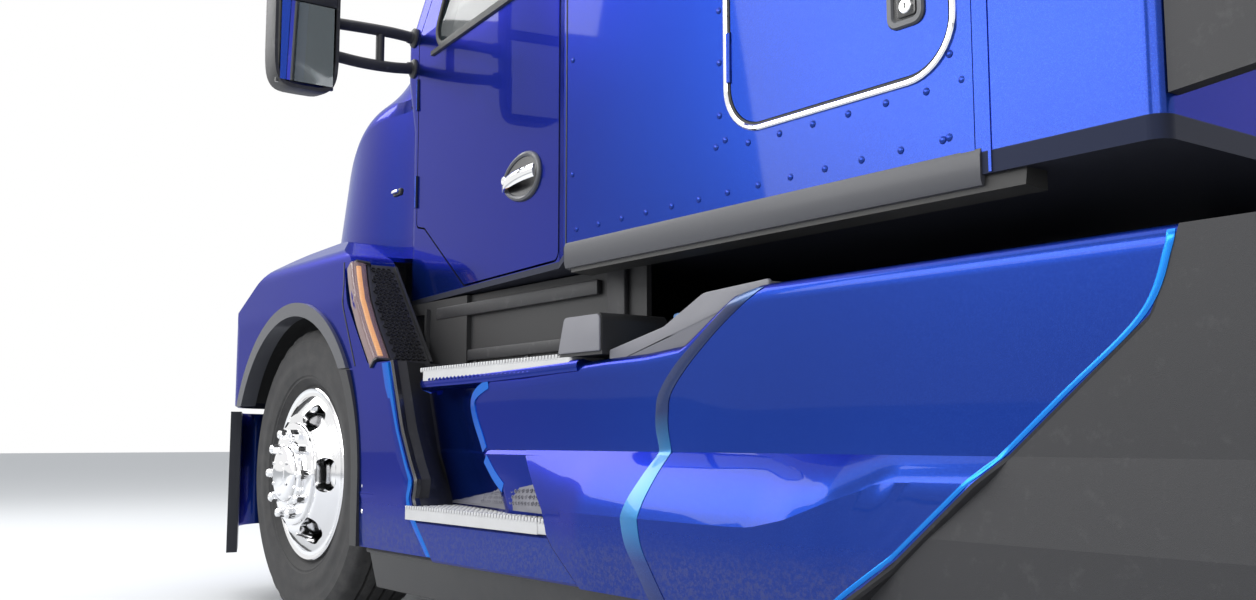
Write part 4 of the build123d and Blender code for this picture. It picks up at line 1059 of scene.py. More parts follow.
skirt = {
    # x, top edge, half widths at the crest and the foot, the crest's height
    "stations": [(-860, 799, 1240, 1236, 462), (-1480, 799, 1246, 1240, 462), (-1741, 815, 1266, 1250, 462),
                 (-1845, 820, 1278, 1256, 462), (-2000, 823, 1280, 1257, 462), (-2135, 834, 1281, 1259, 462),
                 (-2200, 872, 1282, 1260, 462), (-2293, 926, 1284, 1261, 462), (-2385, 942, 1285, 1262, 462),
                 (-2450, 942, 1285, 1262, 464), (-2540, 942, 1284, 1261, 482),
                 (-2640, 942, 1262, 1240, 520), (-2730, 942, 1214, 1206, 555), (-3290, 942, 1205, 1198, 560)],
    "trough": 602, "inner": 1188, "roll": 26, "foot": 290,
    "upperFront": [(-1322, 799), (-1307, 779), (-1243, 755), (-1221, 728), (-1233, 685), (-1262, 636),
                   (-1281, 601)],
    "lowerFront": [(-1490, 602), (-1504, 584), (-1608, 513), (-1690, 455), (-1688, 418), (-1705, 388),
                   (-1756, 351), (-1813, 310), (-1838, 290)],
    "rear": [(-3277, 943), (-3273, 905), (-3228, 812), (-2900, 548), (-2570, 280)],
    "panelEdge": [(-766, 867), (-806, 762), (-846, 658), (-907, 558), (-944, 508), (-928, 458), (-948, 424),
                  (-984, 386), (-1076, 298)],
}


def along(rows, z):
    # the x at a height on a line of (x, z) that runs downward
    for (x0, z0), (x1, z1) in zip(rows, rows[1:]):
        if z >= z1:
            break
    return x0 + (x1 - x0) * min(1, max(0, (z - z0) / (z1 - z0)))


def skirtRow(x):
    for a, b in zip(skirt["stations"], skirt["stations"][1:]):
        if b[0] <= x:
            break
    t = min(1, max(0, (x - a[0]) / (b[0] - a[0])))
    return [a[k] + (b[k] - a[k]) * t for k in (1, 2, 3, 4)]


def skirtY(x, z):
    # how far out the face lies: rolled in at the top, a ledge below its middle, a bulge down to the crest
    top, crest, foot, crestZ = skirtRow(x)
    trough, inner, roll = skirt["trough"], skirt["inner"], skirt["roll"]
    if z >= trough:
        down = min(roll, max(0, top - z))
        return inner + 8 * (z - trough) / (top - trough) - roll + math.sqrt(roll ** 2 - (roll - down) ** 2)
    if z >= crestZ:
        u = (trough - z) / (trough - crestZ)
        return inner + (crest - inner) * (0.55 * u + 0.45 * (1 - (1 - u) ** 2))
    return crest + (foot - crest) * (crestZ - z) / (crestZ - skirt["foot"])


@made("skirtFaces", "chassis", [skirtPaint, blackPlastic], "both", 24, ["side_skirts"])
def skirtFaces(maker):
    # the upper face, the bulge below it, the walls of the toe recess and the flange at the rear edge
    front = [(p.x, p.y) for p in smoothLine([(x, z, 0) for x, z in skirt["upperFront"]], 6)]
    trough, frontTop, rearTop = skirt["trough"], skirt["upperFront"][0][1], 942
    rows = []
    for v in [0, 0.008, 0.025, 0.05, 0.08, 0.12] + [0.12 + 0.88 * k / 10 for k in range(1, 11)]:
        start = along(front, frontTop + (trough - frontTop) * v)
        end = along(skirt["rear"], rearTop + (trough - rearTop) * v)
        row = []
        for k in range(71):
            x = start + (end - start) * k / 70
            z = skirtRow(x)[0] + (trough - skirtRow(x)[0]) * v
            row.append(at(x, skirtY(x, z), z))
        rows.append(row)
    maker.sheet(rows)

    def heightAt(x, v):
        crestZ = skirtRow(x)[3]
        return trough + (crestZ - trough) * min(v, 1) + (skirt["foot"] - crestZ) * max(0, v - 1)
    rows = []
    for v in [k / 9 for k in range(10)] + [1 + k / 6 for k in range(1, 7)]:
        start, end = along(skirt["lowerFront"], heightAt(-1600, v)), -3000
        # closes in on the rear edge, whose height depends on where it is met
        for repeat in range(12):
            end = (end + along(skirt["rear"], heightAt(end, v))) / 2
        row = []
        for k in range(61):
            x = start + (end - start) * k / 60
            z = heightAt(x, v)
            row.append(at(x, skirtY(x, z - 0.01), z))
        rows.append(row)
    maker.sheet(rows)
    # the recess's walls: their edge on the face, their inner edge, top, foot and depths
    walls = ((front, [(-722, 799), (-760, 700), (-800, 589)], 799, 589, 0, 1076),
             ([(-1290, 590), (-1300, 575), (-1345, 535), (-1389, 505), (-1420, 440)],
              [(-825, 590), (-870, 520), (-912, 440)], 590, 436, 8, 1090))
    for edge, deep, high, low, proud, inner in walls:
        rows = []
        for k in range(15):
            z = high + (low - high) * k / 14
            x0, x1 = along(deep, z), along(edge, z)
            outer = skirtY(x1, max(z, trough)) + proud
            plan = [(x0, inner - 40, 0), (x0 - 10, inner, 0), (x0 + (x1 - x0) * 0.45, inner + 26, 0),
                    (x0 + (x1 - x0) * 0.8, outer - 34, 0), (x1 + 14, outer - 4, 0), (x1 - 12, outer, 0)]
            row = [at(p.x, p.y, z) for p in smoothLine(plan, 5)]
            if proud:
                row += [at(x, outer, z) for x in (-1500, -1640)]
            rows.append(row)
        if proud:
            # the ledge on top of the lower wall
            rows.insert(0, [at(p.x, p.y - 9, trough) for p in rows[0]])
        maker.sheet(rows)
    rows = []
    for z in range(940, 284, -16):
        x = along(skirt["rear"], z)
        y = skirtY(x, z)
        rows.append([at(x + a, y + b, z + c) for a, b, c in ((1, 0, 0), (-5, -3, -3), (-9, -12, -5),
                                                             (-12, -90, -6))])
    maker.sheet(rows, 1)


@made("lowerPanels", "chassis", [skirtPaint], "both", 30)
def lowerPanels(maker):
    # the fender's lower panel and the panel below the low step
    rows = []
    radius = archLiner["radius"] + 14
    for k in range(25):
        z = 866 - (866 - 300) * k / 24
        start = archLiner["x"] - math.sqrt(radius ** 2 - min(radius ** 2, (z - archLiner["z"]) ** 2))
        end = along(skirt["panelEdge"], z)
        row = []
        for j in range(13):
            x = start + (end - start) * j / 12
            crown = 5 * (1 - ((z - 583) / 283) ** 2) - (5 if j == 12 else 0)
            row.append(at(x, fender["y"] + crown, z))
        rows.append(row)
    maker.sheet(rows, thick=(0, -28, 0))
    rows = []
    for z in (397, 392, 380, 350, 320, 296, 290):
        start = along(skirt["panelEdge"], max(z, 298)) - 2
        end = along(skirt["lowerFront"], z) + 5
        out = 1236 if z in (397, 290) else 1241
        rows.append([at(start + (end - start) * j / 16, out, z) for j in range(17)])
    maker.sheet(rows, thick=(0, -24, 0))


@made("recessShades", "chassis", [blackPlastic, glossBlack], "both")
def recessShade(maker):
    # the black wall between the fender's lower panel and the toe recess, with its lips
    rows = []
    edge = []
    for k in range(17):
        z = 866 - (866 - 432) * k / 16
        front = along(skirt["panelEdge"], z)
        back = along([(-700, 866), (-760, 700), (-800, 589), (-912, 432)], z)
        edge.append(at(front - 7, 1226, z))
        rows.append([at(front + 14, 1212, z), at(front - 4, 1208, z), at(front - 9, 1180, z),
                     at((front + back) / 2 - 12, 1130, z), at(back - 4, 1082, z), at(back, 1020, z)])
    maker.sheet(rows)
    maker.sweep(edge, [(-9, -12), (-9, 2), (-3, 8), (5, 6), (8, -4), (8, -12)], (0, 1, 0), 1)


def addStrip(name, paint, surface, rows):
    # a thin band on a panel's face, from rows of (x, z, half width)
    @made(name, "chassis", [paint], "both")
    def band(maker):
        across = ((1, -5), (0.95, 1.4), (0.5, 2.2), (-0.5, 2.2), (-0.95, 1.4), (-1, -5))
        maker.sheet([[at(p.x + p.z * k, surface(p.x + p.z * k, p.y) + out, p.y) for k, out in across]
                     for p in smoothLine(rows)])


# the joint at the end of the panel below the low step, the painted highlight on the rear edge of the fender's
# lower panel, the wave-shaped joint of the two skirts in bands of painted reflection and shade, and the
# painted highlight on the edge where the black tail begins
addStrip("lowJoints", navyPaint, lambda x, z: 1244, [
    (-1686, 420, 18), (-1692, 405, 19), (-1712, 380, 19), (-1758, 345, 19), (-1812, 306, 18),
    (-1836, 291, 17)])
addStrip("fenderStrips", blueAndEdgeHighlightPaint, lambda x, z: fender["y"] + 1, [
    (-742, 862, 22), (-780, 762, 22), (-822, 658, 22), (-882, 558, 22), (-917, 508, 22), (-904, 458, 20),
    (-926, 420, 20), (-964, 384, 18), (-1054, 302, 16)])
addStrip("jointStrips", waveReflectionShadePaint, skirtY, [
    (-2364, 934, 34), (-2286, 889, 26), (-2220, 847, 23), (-2132, 785, 25), (-2075, 729, 23),
    (-2063, 686, 23), (-2062, 651, 23), (-2072, 600, 22), (-2068, 539, 27), (-2060, 484, 32),
    (-2063, 412, 31), (-2092, 357, 30), (-2134, 292, 31)])
addStrip("tailStrips", blueAndEdgeHighlightPaint, skirtY, [
    (-3266, 932, 7), (-3262, 905, 7), (-3216, 812, 7), (-3070, 694, 7), (-2890, 549, 7), (-2780, 461, 7),
    (-2680, 380, 7), (-2572, 291, 7)])


@made("recessStrips", "chassis", [blueAndEdgeHighlightPaint], "both")
def recessStrip(maker):
    # the painted highlight on the edge that curves round the toe recess, in an upper and a lower part
    for points in (skirt["upperFront"][1:], [(-1298, 578), (-1345, 535), (-1392, 503)]):
        line = [at(q.x + 6, skirtY(q.x, max(q.z, 603)) + (7 if q.z < 595 else 0) - 1, q.z)
                for q in smoothLine([(x, 0, z) for x, z in points])]
        maker.sweep(line, [(-15, -6), (15, -4), (14, 1.4), (-14, 2.4)], (0.12, 1, 0))


@made("skirtLips", "chassis", [bluePaint], "both")
def skirtLip(maker):
    # the lip below the high step, with its row of small holes
    line = [at(-862, 1130, 792), at(-880, 1168, 792), at(-930, 1186, 793), at(-1250, 1190, 795),
            at(-1735, 1191, 806)]
    section = [(-18, -40), (15, -40), (17, -6), (12, 4), (2, 8), (-8, 8), (-16, 3), (-19, -8)]
    maker.sweep(smoothLine(line), section, (0, 1, 0.15))
    for k in range(26):
        spot = facing(at(-960 - 22 * k, 1196, 803), (0, 1, 0.5))
        maker.lathe([(4, 0), (4, 2.4), (2.2, 2.4), (2, 0.4)], spot, 10)


@made("lipLines", "chassis", [lipRubber], "both")
def lipLine(maker):
    # the rounded top edge of the rubber lip
    maker.sweep([at(x, 1196, 288) for x in (-570, -1500, -2500, -4028)],
                [(-9, -12), (-9, 3), (-4, 8), (4, 8), (9, 3), (9, -12)], (0, 1, 0.3))


@made("wellTrims", "chassis", [blackPlastic, guardGrey], "both")
def wellTrim(maker):
    # ribs and covers inside the step well, and the guard at its rear
    for low, high, edge in (((-650, 1000, 870), (-1560, 1012, 905), 4),
                            ((-650, 1000, 1010), (-1560, 1018, 1050), 5),
                            ((-1600, 1000, 850), (-1680, 1016, 1070), 5)):
        maker.span(at(*low), at(*high), edge)
    for x in (-880, -1180, -1440):
        maker.span(at(x, 1000, 700), at(x - 22, 1009, 868), 3)
    guard = rounded([(-1655, 838, 4), (-1682, 926, 14), (-1834, 926, 14), (-1834, 838, 4)])
    maker.prism(guard, 6, onSide(1201), 2, 1)


@made("shoulderCovers", "chassis", [guardGrey], "both")
def shoulderPiece(maker):
    # the grey cover that carries the skirt's top edge up to the rear
    rows = rounded([(-1842, 800, 3), (-1842, 840, 6), (-2050, 880, 60), (-2190, 943, 60), (-2398, 953, 8),
                    (-2398, 925, 3), (-2290, 905, 3), (-2200, 850, 3), (-2140, 800, 3)])
    maker.prism(rows, 12, onSide(1178), 4)


@made("fillerCap", "chassis", [capPlastic])
def fillerCap(maker):
    # a fluted cap on its neck
    place = put(-1950, 1010, 888)
    rows = [(50, -50), (38, -44), (38, -10), (52, -6), (52, 4), (50, 8), (46, 10), (46, 34), (43, 38),
            (30, 40), (28, 38), (0, 38)]

    def fluted(number, i):
        return -2.2 if 6 <= number <= 8 and i % 4 < 2 else 0.0
    maker.lathe(rows, place, 64, wave=fluted)
    maker.block((70, 14, 12), place @ put(0, 0, 44), 4)


print("mirrors")

mirror = {
    "x": (-300, -462), "y": (1290, 1512), "z": (1752, 2418), "armX": -385, "square": 0.42,
    # along, width and height, as shares of the head
    "profile": [(0.0, 0.45, 0.72), (0.06, 0.66, 0.84), (0.2, 0.85, 0.93), (0.45, 0.97, 0.985),
                (0.8, 1.0, 1.0), (0.95, 1.0, 1.0), (1.0, 0.985, 0.995), (1.0, 0.9, 0.965),
                (0.97, 0.88, 0.955)],
}


@made("mirrorHeads", "chassis", [blackPlastic, glossBlack], "both", replaces=["mirrors"])
def mirrorPiece(maker):
    # a full head with a rim round its glasses, on two bent arms
    (x0, x1), (y0, y1), (z0, z1) = mirror["x"], mirror["y"], mirror["z"]
    middleY, middleZ = (y0 + y1) / 2, (z0 + z1) / 2
    halfY, halfZ = (y1 - y0) / 2, (z1 - z0) / 2
    rings = []
    for t, wide, tall in mirror["profile"]:
        row = []
        for k in range(49):
            c, s = math.cos(math.tau * k / 48), math.sin(math.tau * k / 48)
            y = middleY + halfY * wide * squared(c, mirror["square"])
            z = middleZ + halfZ * tall * squared(s, mirror["square"] * 0.6)
            row.append(at(x0 + (x1 - x0) * t, y, z))
        rings.append(row)
    maker.sheet(rings)
    maker.sheet([rings[0], [at(x0 + 3, middleY, middleZ)] * 49])
    maker.span(at(x1 + 12, y0 + 14, z0 + 16), at(x1 + 26, y1 - 14, z1 - 16), 2, 1)
    maker.span(at(x1 - 1, y0 + 12, 2044), at(x1 + 22, y1 - 12, 2076), 4)
    armX = mirror["armX"]
    y = doorY(armX)
    for z, bend in ((1910, -16), (2020, 10)):
        path = [at(armX, y + 2, z + 6), at(armX - 3, y + 90, z + 3 + bend * 0.5),
                at(armX - 3, y + 200, z + bend * 0.5), at(armX, 1300, z)]
        maker.tube(smoothLine(path), 19, 16)
        foot = facing(at(armX, y, z + 6), doorOutward)
        maker.lathe([(0, -4), (34, -4), (34, 5), (30, 9), (22, 12), (20, 26), (0, 26)], foot, 32)
        maker.lathe([(0, -20), (26, -20), (28, -6), (28, 10), (24, 18), (0, 18)],
                    facing(at(armX, 1292, z), (0, 1, 0)), 28)
    maker.tube([at(armX, y + 130, z) for z in (1892, 2040)], 15, 14)


print("seats")

seat = {"y": 520, "voxel": 0.02, "bedVoxel": 0.034, "swell": 0.026, "pressure": 4.0, "frames": 20}


def settle(thing):
    # keeps what the modifiers give as the object's own mesh
    mesh = bpy.data.meshes.new_from_object(thing.evaluated_get(bpy.context.evaluated_depsgraph_get()))
    thing.modifiers.clear()
    thing.data = mesh


def padForm(name, blocks, voxel):
    # rounded blocks melted into one skin, a little smaller than the finished pad
    maker = Maker()
    for size, place, edge in blocks:
        maker.block(size, place, edge, 0, 3)
    mesh = bpy.data.meshes.new(name)
    mesh.from_pydata([inMetres(p) for p in maker.points], [], maker.faces)
    thing = linked(name, mesh)
    melt = thing.modifiers.new("melt", "REMESH")
    melt.mode, melt.voxel_size = "VOXEL", voxel
    settle(thing)
    return thing


def swellPads(pads):
    # the covers fill out under pressure, all in the same few frames, and no point moves beyond the cap
    scene = bpy.context.scene
    for pad in pads:
        cloth = pad.modifiers.new("cover", "CLOTH")
        cloth.settings.use_pressure = True
        cloth.settings.uniform_pressure_force = seat["pressure"]
        cloth.settings.quality = 4
        cloth.settings.effector_weights.gravity = 0
        cloth.point_cache.frame_end = seat["frames"]
    for number in range(1, seat["frames"] + 1):
        scene.frame_set(number)
    for pad in pads:
        start = [v.co.copy() for v in pad.data.vertices]
        settle(pad)
        for v, old in zip(pad.data.vertices, start):
            move = v.co - old
            if move.length > seat["swell"]:
                v.co = old + move * (seat["swell"] / move.length)
    scene.frame_set(1)


def finishPad(pad, finishes, sewn, centre):
    # one subdivision, then the sewn channels, and the lighter cloth of the middle
    smooth = pad.modifiers.new("smooth", "SUBSURF")
    smooth.levels = smooth.render_levels = 1
    settle(pad)
    mesh = pad.data
    for v in mesh.vertices:
        v.co -= v.normal * sewn(v.co, v.normal) / 1000
    for finish in finishes:
        mesh.materials.append(finish)
    for face in mesh.polygons:
        face.material_index = 1 if centre(face.center, face.normal) else 0
    mesh.shade_smooth()
    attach(pad, "chassis")


def groove(distance, deep, wide):
    return deep * math.exp(-(distance / wide) ** 2)


def makeSeats():
    pads = []
    lean = spin(-10.6, "Y")
    for side in (1, -1):
        y = side * seat["y"]
        word = "left" if side > 0 else "right"
        place = put(-1735, y, 1990) @ lean
        cushion = [((476, 330, 92), put(-1442, y, 1506), 26),
                   ((120, 480, 112), put(-1255, y, 1506), 40)]
        back = [((84, 330, 770), place, 26), ((100, 290, 170), place @ put(8, 0, 300), 34)]
        for wing in (-1, 1):
            cushion.append(((470, 92, 118), put(-1440, y + wing * 196, 1510), 34))
            back.append(((118, 90, 560), place @ put(16, wing * 192, -70), 34))
        pads.append((padForm("seatCushion_" + word, cushion, seat["voxel"]), y, "cushion"))
        pads.append((padForm("seatBack_" + word, back, seat["voxel"]), y, "back"))
        pillow = [((300, 620, 96), put(-3010, side * 560, 1762), 40)]
        pads.append((padForm("pillow_" + word, pillow, 0.026), side * 560, "pillow"))
    bed = [((756, 1950, 104), put(-2797, 0, 1630), 30)]
    pads.append((padForm("mattress", bed, seat["bedVoxel"]), 0, "bed"))
    swellPads([pad for pad, y, kind in pads])
    for pad, y, kind in pads:
        def sewn(p, normal):
            across = abs(p.y * 1000 - y)
            if kind == "cushion":
                fluted = sum(groove(p.x - axleX + 1.29 + 0.085 * k, 7, 0.009) for k in range(5))
                return (normal.z > 0.2) * (groove(across - 152, 10, 9) + (across < 145) * fluted)
            if kind == "back":
                fluted = sum(groove(p.z - 1.70 - 0.085 * k, 7, 0.009) for k in range(6))
                return (normal.x > 0.2) * (groove(across - 152, 10, 9) + (across < 145) * fluted)
            if kind == "pillow":
                return 0
            cells = groove((p.y * 5) % 1 - 0.5, 9, 0.12) + groove((p.x * 5) % 1 - 0.5, 9, 0.12)
            return (normal.z > 0.5) * cells

        def middle(p, normal):
            across = abs(p.y * 1000 - y)
            if kind not in ("cushion", "back") or across >= 150:
                return False
            return (normal.z if kind == "cushion" else normal.x) > 0.3
        soft = kind in ("pillow", "bed")
        finishPad(pad, [beddingCloth, seatCentre] if soft else [seatCloth, seatCentre], sewn, middle)
    return [(pad, y) for pad, y, kind in pads if kind == "cushion"]


cushions = makeSeats()


@made("seatPiping", "chassis", [sealRubber])
def seatPiping(maker):
    # a cord sewn round each cushion's upper edge, laid on its skin
    for pad, y in cushions:
        ring = []
        for k in range(72):
            c, s = math.cos(math.tau * k / 72), math.sin(math.tau * k / 72)
            wish = at(-1440 + 262 * squared(c, 0.35), y + 262 * squared(s, 0.35), 1552)
            found, spot, normal, index = pad.closest_point_on_mesh(inMetres(wish))
            ring.append(at((spot.x - axleX) * 1000, spot.y * 1000, spot.z * 1000) + normal * 2)
        maker.tube(ring, 4.5, 8, closed=True)


@made("seatFrames", "chassis", [interiorPlastic, blackPlastic, redLens], "both",
      replaces=["seats"])
def seatFrames(maker):
    # a risen base on air, side covers, levers, arm rests and belts; slats and an edge board at the mattress
    y = seat["y"]
    maker.span(at(-1245, y - 205, 1125), at(-1640, y + 205, 1165), 8)
    for k in range(5):
        maker.lathe([(118, 0), (128, 8), (128, 18), (118, 26)],
                    put(-1445, y, 1185 + 30 * k) @ Matrix.Scale(1.35, 4, (1, 0, 0)), 40, 1)
    maker.span(at(-1205, y - 235, 1345), at(-1690, y + 235, 1448), 18)
    cover = rounded([(-1230, 1375, 20), (-1230, 1440, 24), (-1560, 1452, 20), (-1690, 1520, 30),
                     (-1700, 1400, 30), (-1640, 1360, 20)])
    for wing in (-1, 1):
        side = y + wing * 246
        maker.prism(cover, 16, onSide(side + 8), 4)
        for k in range(3):
            maker.lathe([(15, 0), (15, 14), (10, 20), (0, 20)],
                        facing(at(-1330 - 70 * k, side + wing * 8, 1406), (0, wing, 0)), 20, 1)
        maker.block((330, 54, 44), put(-1560, y + wing * 285, 1800), 18, 1, 3)
        maker.lathe([(22, 0), (22, 40), (0, 44)], facing(at(-1722, y + wing * 240, 1800), (0, wing, 0)), 24)
    belt = [(-24, -1.2), (24, -1.2), (24, 1.2), (-24, 1.2)]
    chest = [at(-1800, y - 225, 2390), at(-1700, y - 190, 2300), at(-1665, y - 60, 2000),
             at(-1655, y + 120, 1700), at(-1650, y + 240, 1600)]
    maker.sweep(smoothLine(chest), belt, (1, 0, 0.2), 1)
    maker.block((24, 44, 60), put(-1642, y + 248, 1560), 5, 2)
    maker.span(at(-2396, 0, 1560), at(-2380, 1000, 1690), 5)
    for k in range(12):
        maker.span(at(-2405, 20 + 80 * k, 1562), at(-3190, 62 + 80 * k, 1576), 3)


print("interior")

dashboard = {
    "out": (-0.97, 0, 0.243), "low": (-860, 1660), "high": (-800, 1900),
    "gauges": ((600, 0.56, 54), (440, 0.56, 54), (520, 0.72, 24), (520, 0.36, 24), (672, 0.5, 22),
               (368, 0.5, 22)),
}
steering = put(-1010, 520, 1840) @ spin(-35, "Y")


def onDash(y, share, out=0.0):
    (x0, z0), (x1, z1) = dashboard["low"], dashboard["high"]
    return at(x0 + (x1 - x0) * share, y, z0 + (z1 - z0) * share) + Vector(dashboard["out"]) * out


@made("dashDetails", "chassis",
      [interiorPlastic, glossBlack, blackPlastic, whiteLens, redLens, plainSteel])
def dashPiece(maker):
    # gauges under a cowl, a screen, air vents, switches, a glove box, pedals and the column's stalks
    out = dashboard["out"]
    for y, share, r in dashboard["gauges"]:
        dial = facing(onDash(y, share), out)
        maker.lathe([(r, -2), (r, 9), (r - 5, 12), (r - 8, 4)], dial, 40, 1)
        maker.lathe([(r - 8, 4), (0, 3)], dial, 40, 2)
        for k in range(9):
            maker.block((1.6, 7, 1), turned(dial, -130 + 260 * k / 8) @ put(0, r - 15, 4.4), 0.2, 3, 1)
        needle = dial @ Matrix.Rotation(0.7, 4, "Z") @ put(0, (r - 14) / 2, 6)
        maker.block((2.4, r - 14, 1.4), needle, 0.3, 4, 1)
    cowl = [onDash(520 - 220 * math.cos(a), 0.62 + 0.42 * math.sin(a) ** 0.5)
            for a in (math.pi * k / 24 for k in range(25))]
    maker.sweep(cowl, [(-4, -6), (4, -6), (5, 40), (0, 58), (-5, 40)], out)

    def onPanel(size, y, share, raised, edge, finish, segments=2):
        maker.block(size, facing(onDash(y, share, raised), out), edge, finish, segments)
    onPanel((250, 160, 16), 70, 0.5, 6, 6, 1)
    onPanel((226, 132, 4), 70, 0.53, 14, 1.5, 2)
    for row in range(2):
        for k in range(8):
            onPanel((26, 20, 9), -44 + 33 * k, 0.08 - 0.1 * row, 4, 3, 1)
            onPanel((10, 2, 2), -44 + 33 * k, 0.1 - 0.1 * row, 9, 0.5, 3, 1)
    for y in (790, 250, -110, -790):
        onPanel((104, 76, 14), y, 0.66, 2, 8, 1)
        for k in range(5):
            slat = facing(onDash(y, 0.56 + 0.055 * k, 9), out) @ Matrix.Rotation(0.5, 4, "X")
            maker.block((88, 12, 3), slat, 1)
    onPanel((420, 130, 8), -470, 0.36, 2, 14, 0)
    onPanel((70, 14, 10), -470, 0.56, 8, 4, 1)
    for y in (60, -60):
        maker.span(at(-560, y - 42, 1500), at(-700, y + 42, 1512), 5, 1)
    maker.block((40, 26, 90), put(-640, 0, 1545), 8, 1)
    for y, z, wide in ((640, 1290, 62), (470, 1300, 90)):
        pad = put(-560, y, z) @ spin(-35, "Y")
        maker.block((14, wide, 110), pad, 4, 1)
        for k in range(5):
            maker.block((5, wide - 14, 7), pad @ put(-9, 0, -40 + 20 * k), 2)
        maker.tube([at(-553, y, z + 10), at(-500, y, z + 120), at(-440, y, z + 240)], 9, 10, 5)
    maker.block((96, 92, 120), steering @ put(0, 0, -190), 18)
    for wing in (-1, 1):
        lever = ((0, 40, -150), (0, 120, -140), (10, 190, -125))
        maker.tube([steering @ at(x, wing * y, z) for x, y, z in lever], 9, 12, 1)
        knob = facing(steering @ at(10, wing * 185, -126), steering.to_3x3() @ at(0, wing, 0))
        maker.lathe([(12, 0), (12, 34), (6, 40), (0, 40)], knob, 16, 1)


@made("wheelTrim", "steering_wheel", [interiorPlastic, plainSteel, glossBlack])
def wheelTrim(maker):
    # the steering wheel's stitched grip, its hub pad and buttons
    def onRim(angle):
        return steering @ at(225 * math.cos(angle), 225 * math.sin(angle), 0)
    for k in range(3):
        part = [onRim(math.radians(30 + 120 * k) + math.radians(-34 + 68 * j / 20)) for j in range(21)]
        maker.tube(part, 17.2, 16)
    for k in range(72):
        stitch = onRim(math.tau * k / 72)
        inward = (steering.translation - stitch).normalized()
        maker.block((2.2, 7, 2.2), facing(stitch + inward * 15.6, inward), 0.6, 1, 1)
    maker.lathe([(76, -20), (78, -4), (78, 16), (70, 26), (46, 31), (0, 33)], steering, 48, 2)
    maker.lathe([(34, 31), (36, 35), (32, 37), (0, 37)], steering, 40, 1)
    for a in (0, 120, 240):
        spoke = turned(steering, a)
        maker.block((96, 44, 10), spoke @ put(124, 0, 9), 5, 2)
        for k in range(3):
            maker.block((18, 14, 4), spoke @ put(96 + 26 * k, 0, 16), 2, 1)


@made("doorCard", "door_{}", [interiorGrey, interiorPlastic, glossBlack, chrome], "pair")
def doorCard(maker):
    # the door's lining, with an arm rest, a pull, a pocket, a speaker and switches
    def inDoor(x, deep, z):
        return at(x, doorY(x) - deep, z)
    rows = [[inDoor(x, 48 + out, z) for x in range(-940, -1450, -30)]
            for z, out in ((1180, 0), (1200, 12), (1420, 12), (1440, 4), (1560, 4), (1590, 20), (1640, 34),
                           (1672, 26), (1690, 8), (1860, 8), (1895, 0))]
    maker.sheet(rows, thick=(0, 3, 0))
    maker.block((360, 70, 52), put(*inDoor(-1200, 86, 1620)), 20, 1, 3)
    for k in range(4):
        maker.block((22, 14, 8), put(-1080 - 30 * k, doorY(-1100) - 90, 1648), 3, 2)
    pull = [inDoor(-990, 54, 1700), at(-1000, doorY(-990) - 98, 1730), inDoor(-1040, 98, 1830),
            inDoor(-1050, 54, 1860)]
    maker.tube(smoothLine(pull, 6), 11, 12, 2)
    maker.lathe([(84, 0), (84, 8), (78, 12), (74, 5), (0, 9)],
                facing(inDoor(-1040, 60, 1310), (0, -1, 0)), 40, 2)
    for k in range(7):
        maker.lathe([(10 + 9 * k, 10), (12 + 9 * k, 12), (14 + 9 * k, 10)],
                    facing(inDoor(-1040, 62, 1310), (0, -1, 0)), 32, 1)
    maker.block((230, 26, 130), put(*inDoor(-1290, 66, 1300)), 10, 1)
    maker.block((70, 12, 26), put(*inDoor(-1340, 64, 1760)), 5, 3)


print("front end")

grille = {
    "outline": [(-400, 835, 30), (400, 835, 30), (350, 1275, 40), (-350, 1275, 40)], "low": 835, "x": 1225,
}


@made("grilleDetails", "hood", [chrome, blackPlastic])
def grillePiece(maker):
    # a chrome surround with a stepped edge, cross bars, and a woven mesh behind them
    x, low = grille["x"], grille["low"]
    ring = [at(x - 8, p[0], p[1]) for p in rounded(grille["outline"], 8)]
    maker.sweep(ring, [(-16, -16), (-16, 6), (-10, 12), (-2, 12), (2, 7), (10, 7), (14, 2), (14, -16)],
                (1, 0, 0), closed=True)
    wire = [(-1.6, -1.2), (1.6, -1.2), (1.6, 1.2), (-1.6, 1.2)]
    for k in range(1, 34):
        z = 842 + 13 * k
        half = 395 - 50 * (z - low) / 440
        wave = [at(x - 38 + (3 if (j + k) % 2 else -3), -half + 2 * half * j / 52, z) for j in range(53)]
        maker.sweep(wave, wire, (1, 0, 0), 1)
    for j in range(1, 52):
        y = -395 + 790 * j / 52
        top = 1270 if abs(y) < 345 else 1270 - (abs(y) - 345) * 8
        maker.sweep([at(x - 38, y, 842), at(x - 38, y, top)], wire, (1, 0, 0), 1)
    for z in range(890, 1250, 48):
        half = 378 - 50 * (z - low) / 440
        maker.sweep([at(x - 12, -half, z + 6), at(x - 12, half, z + 6)],
                    [(-7, -3), (7, -3), (5, 5), (0, 7), (-5, 5)], (1, 0, 0))


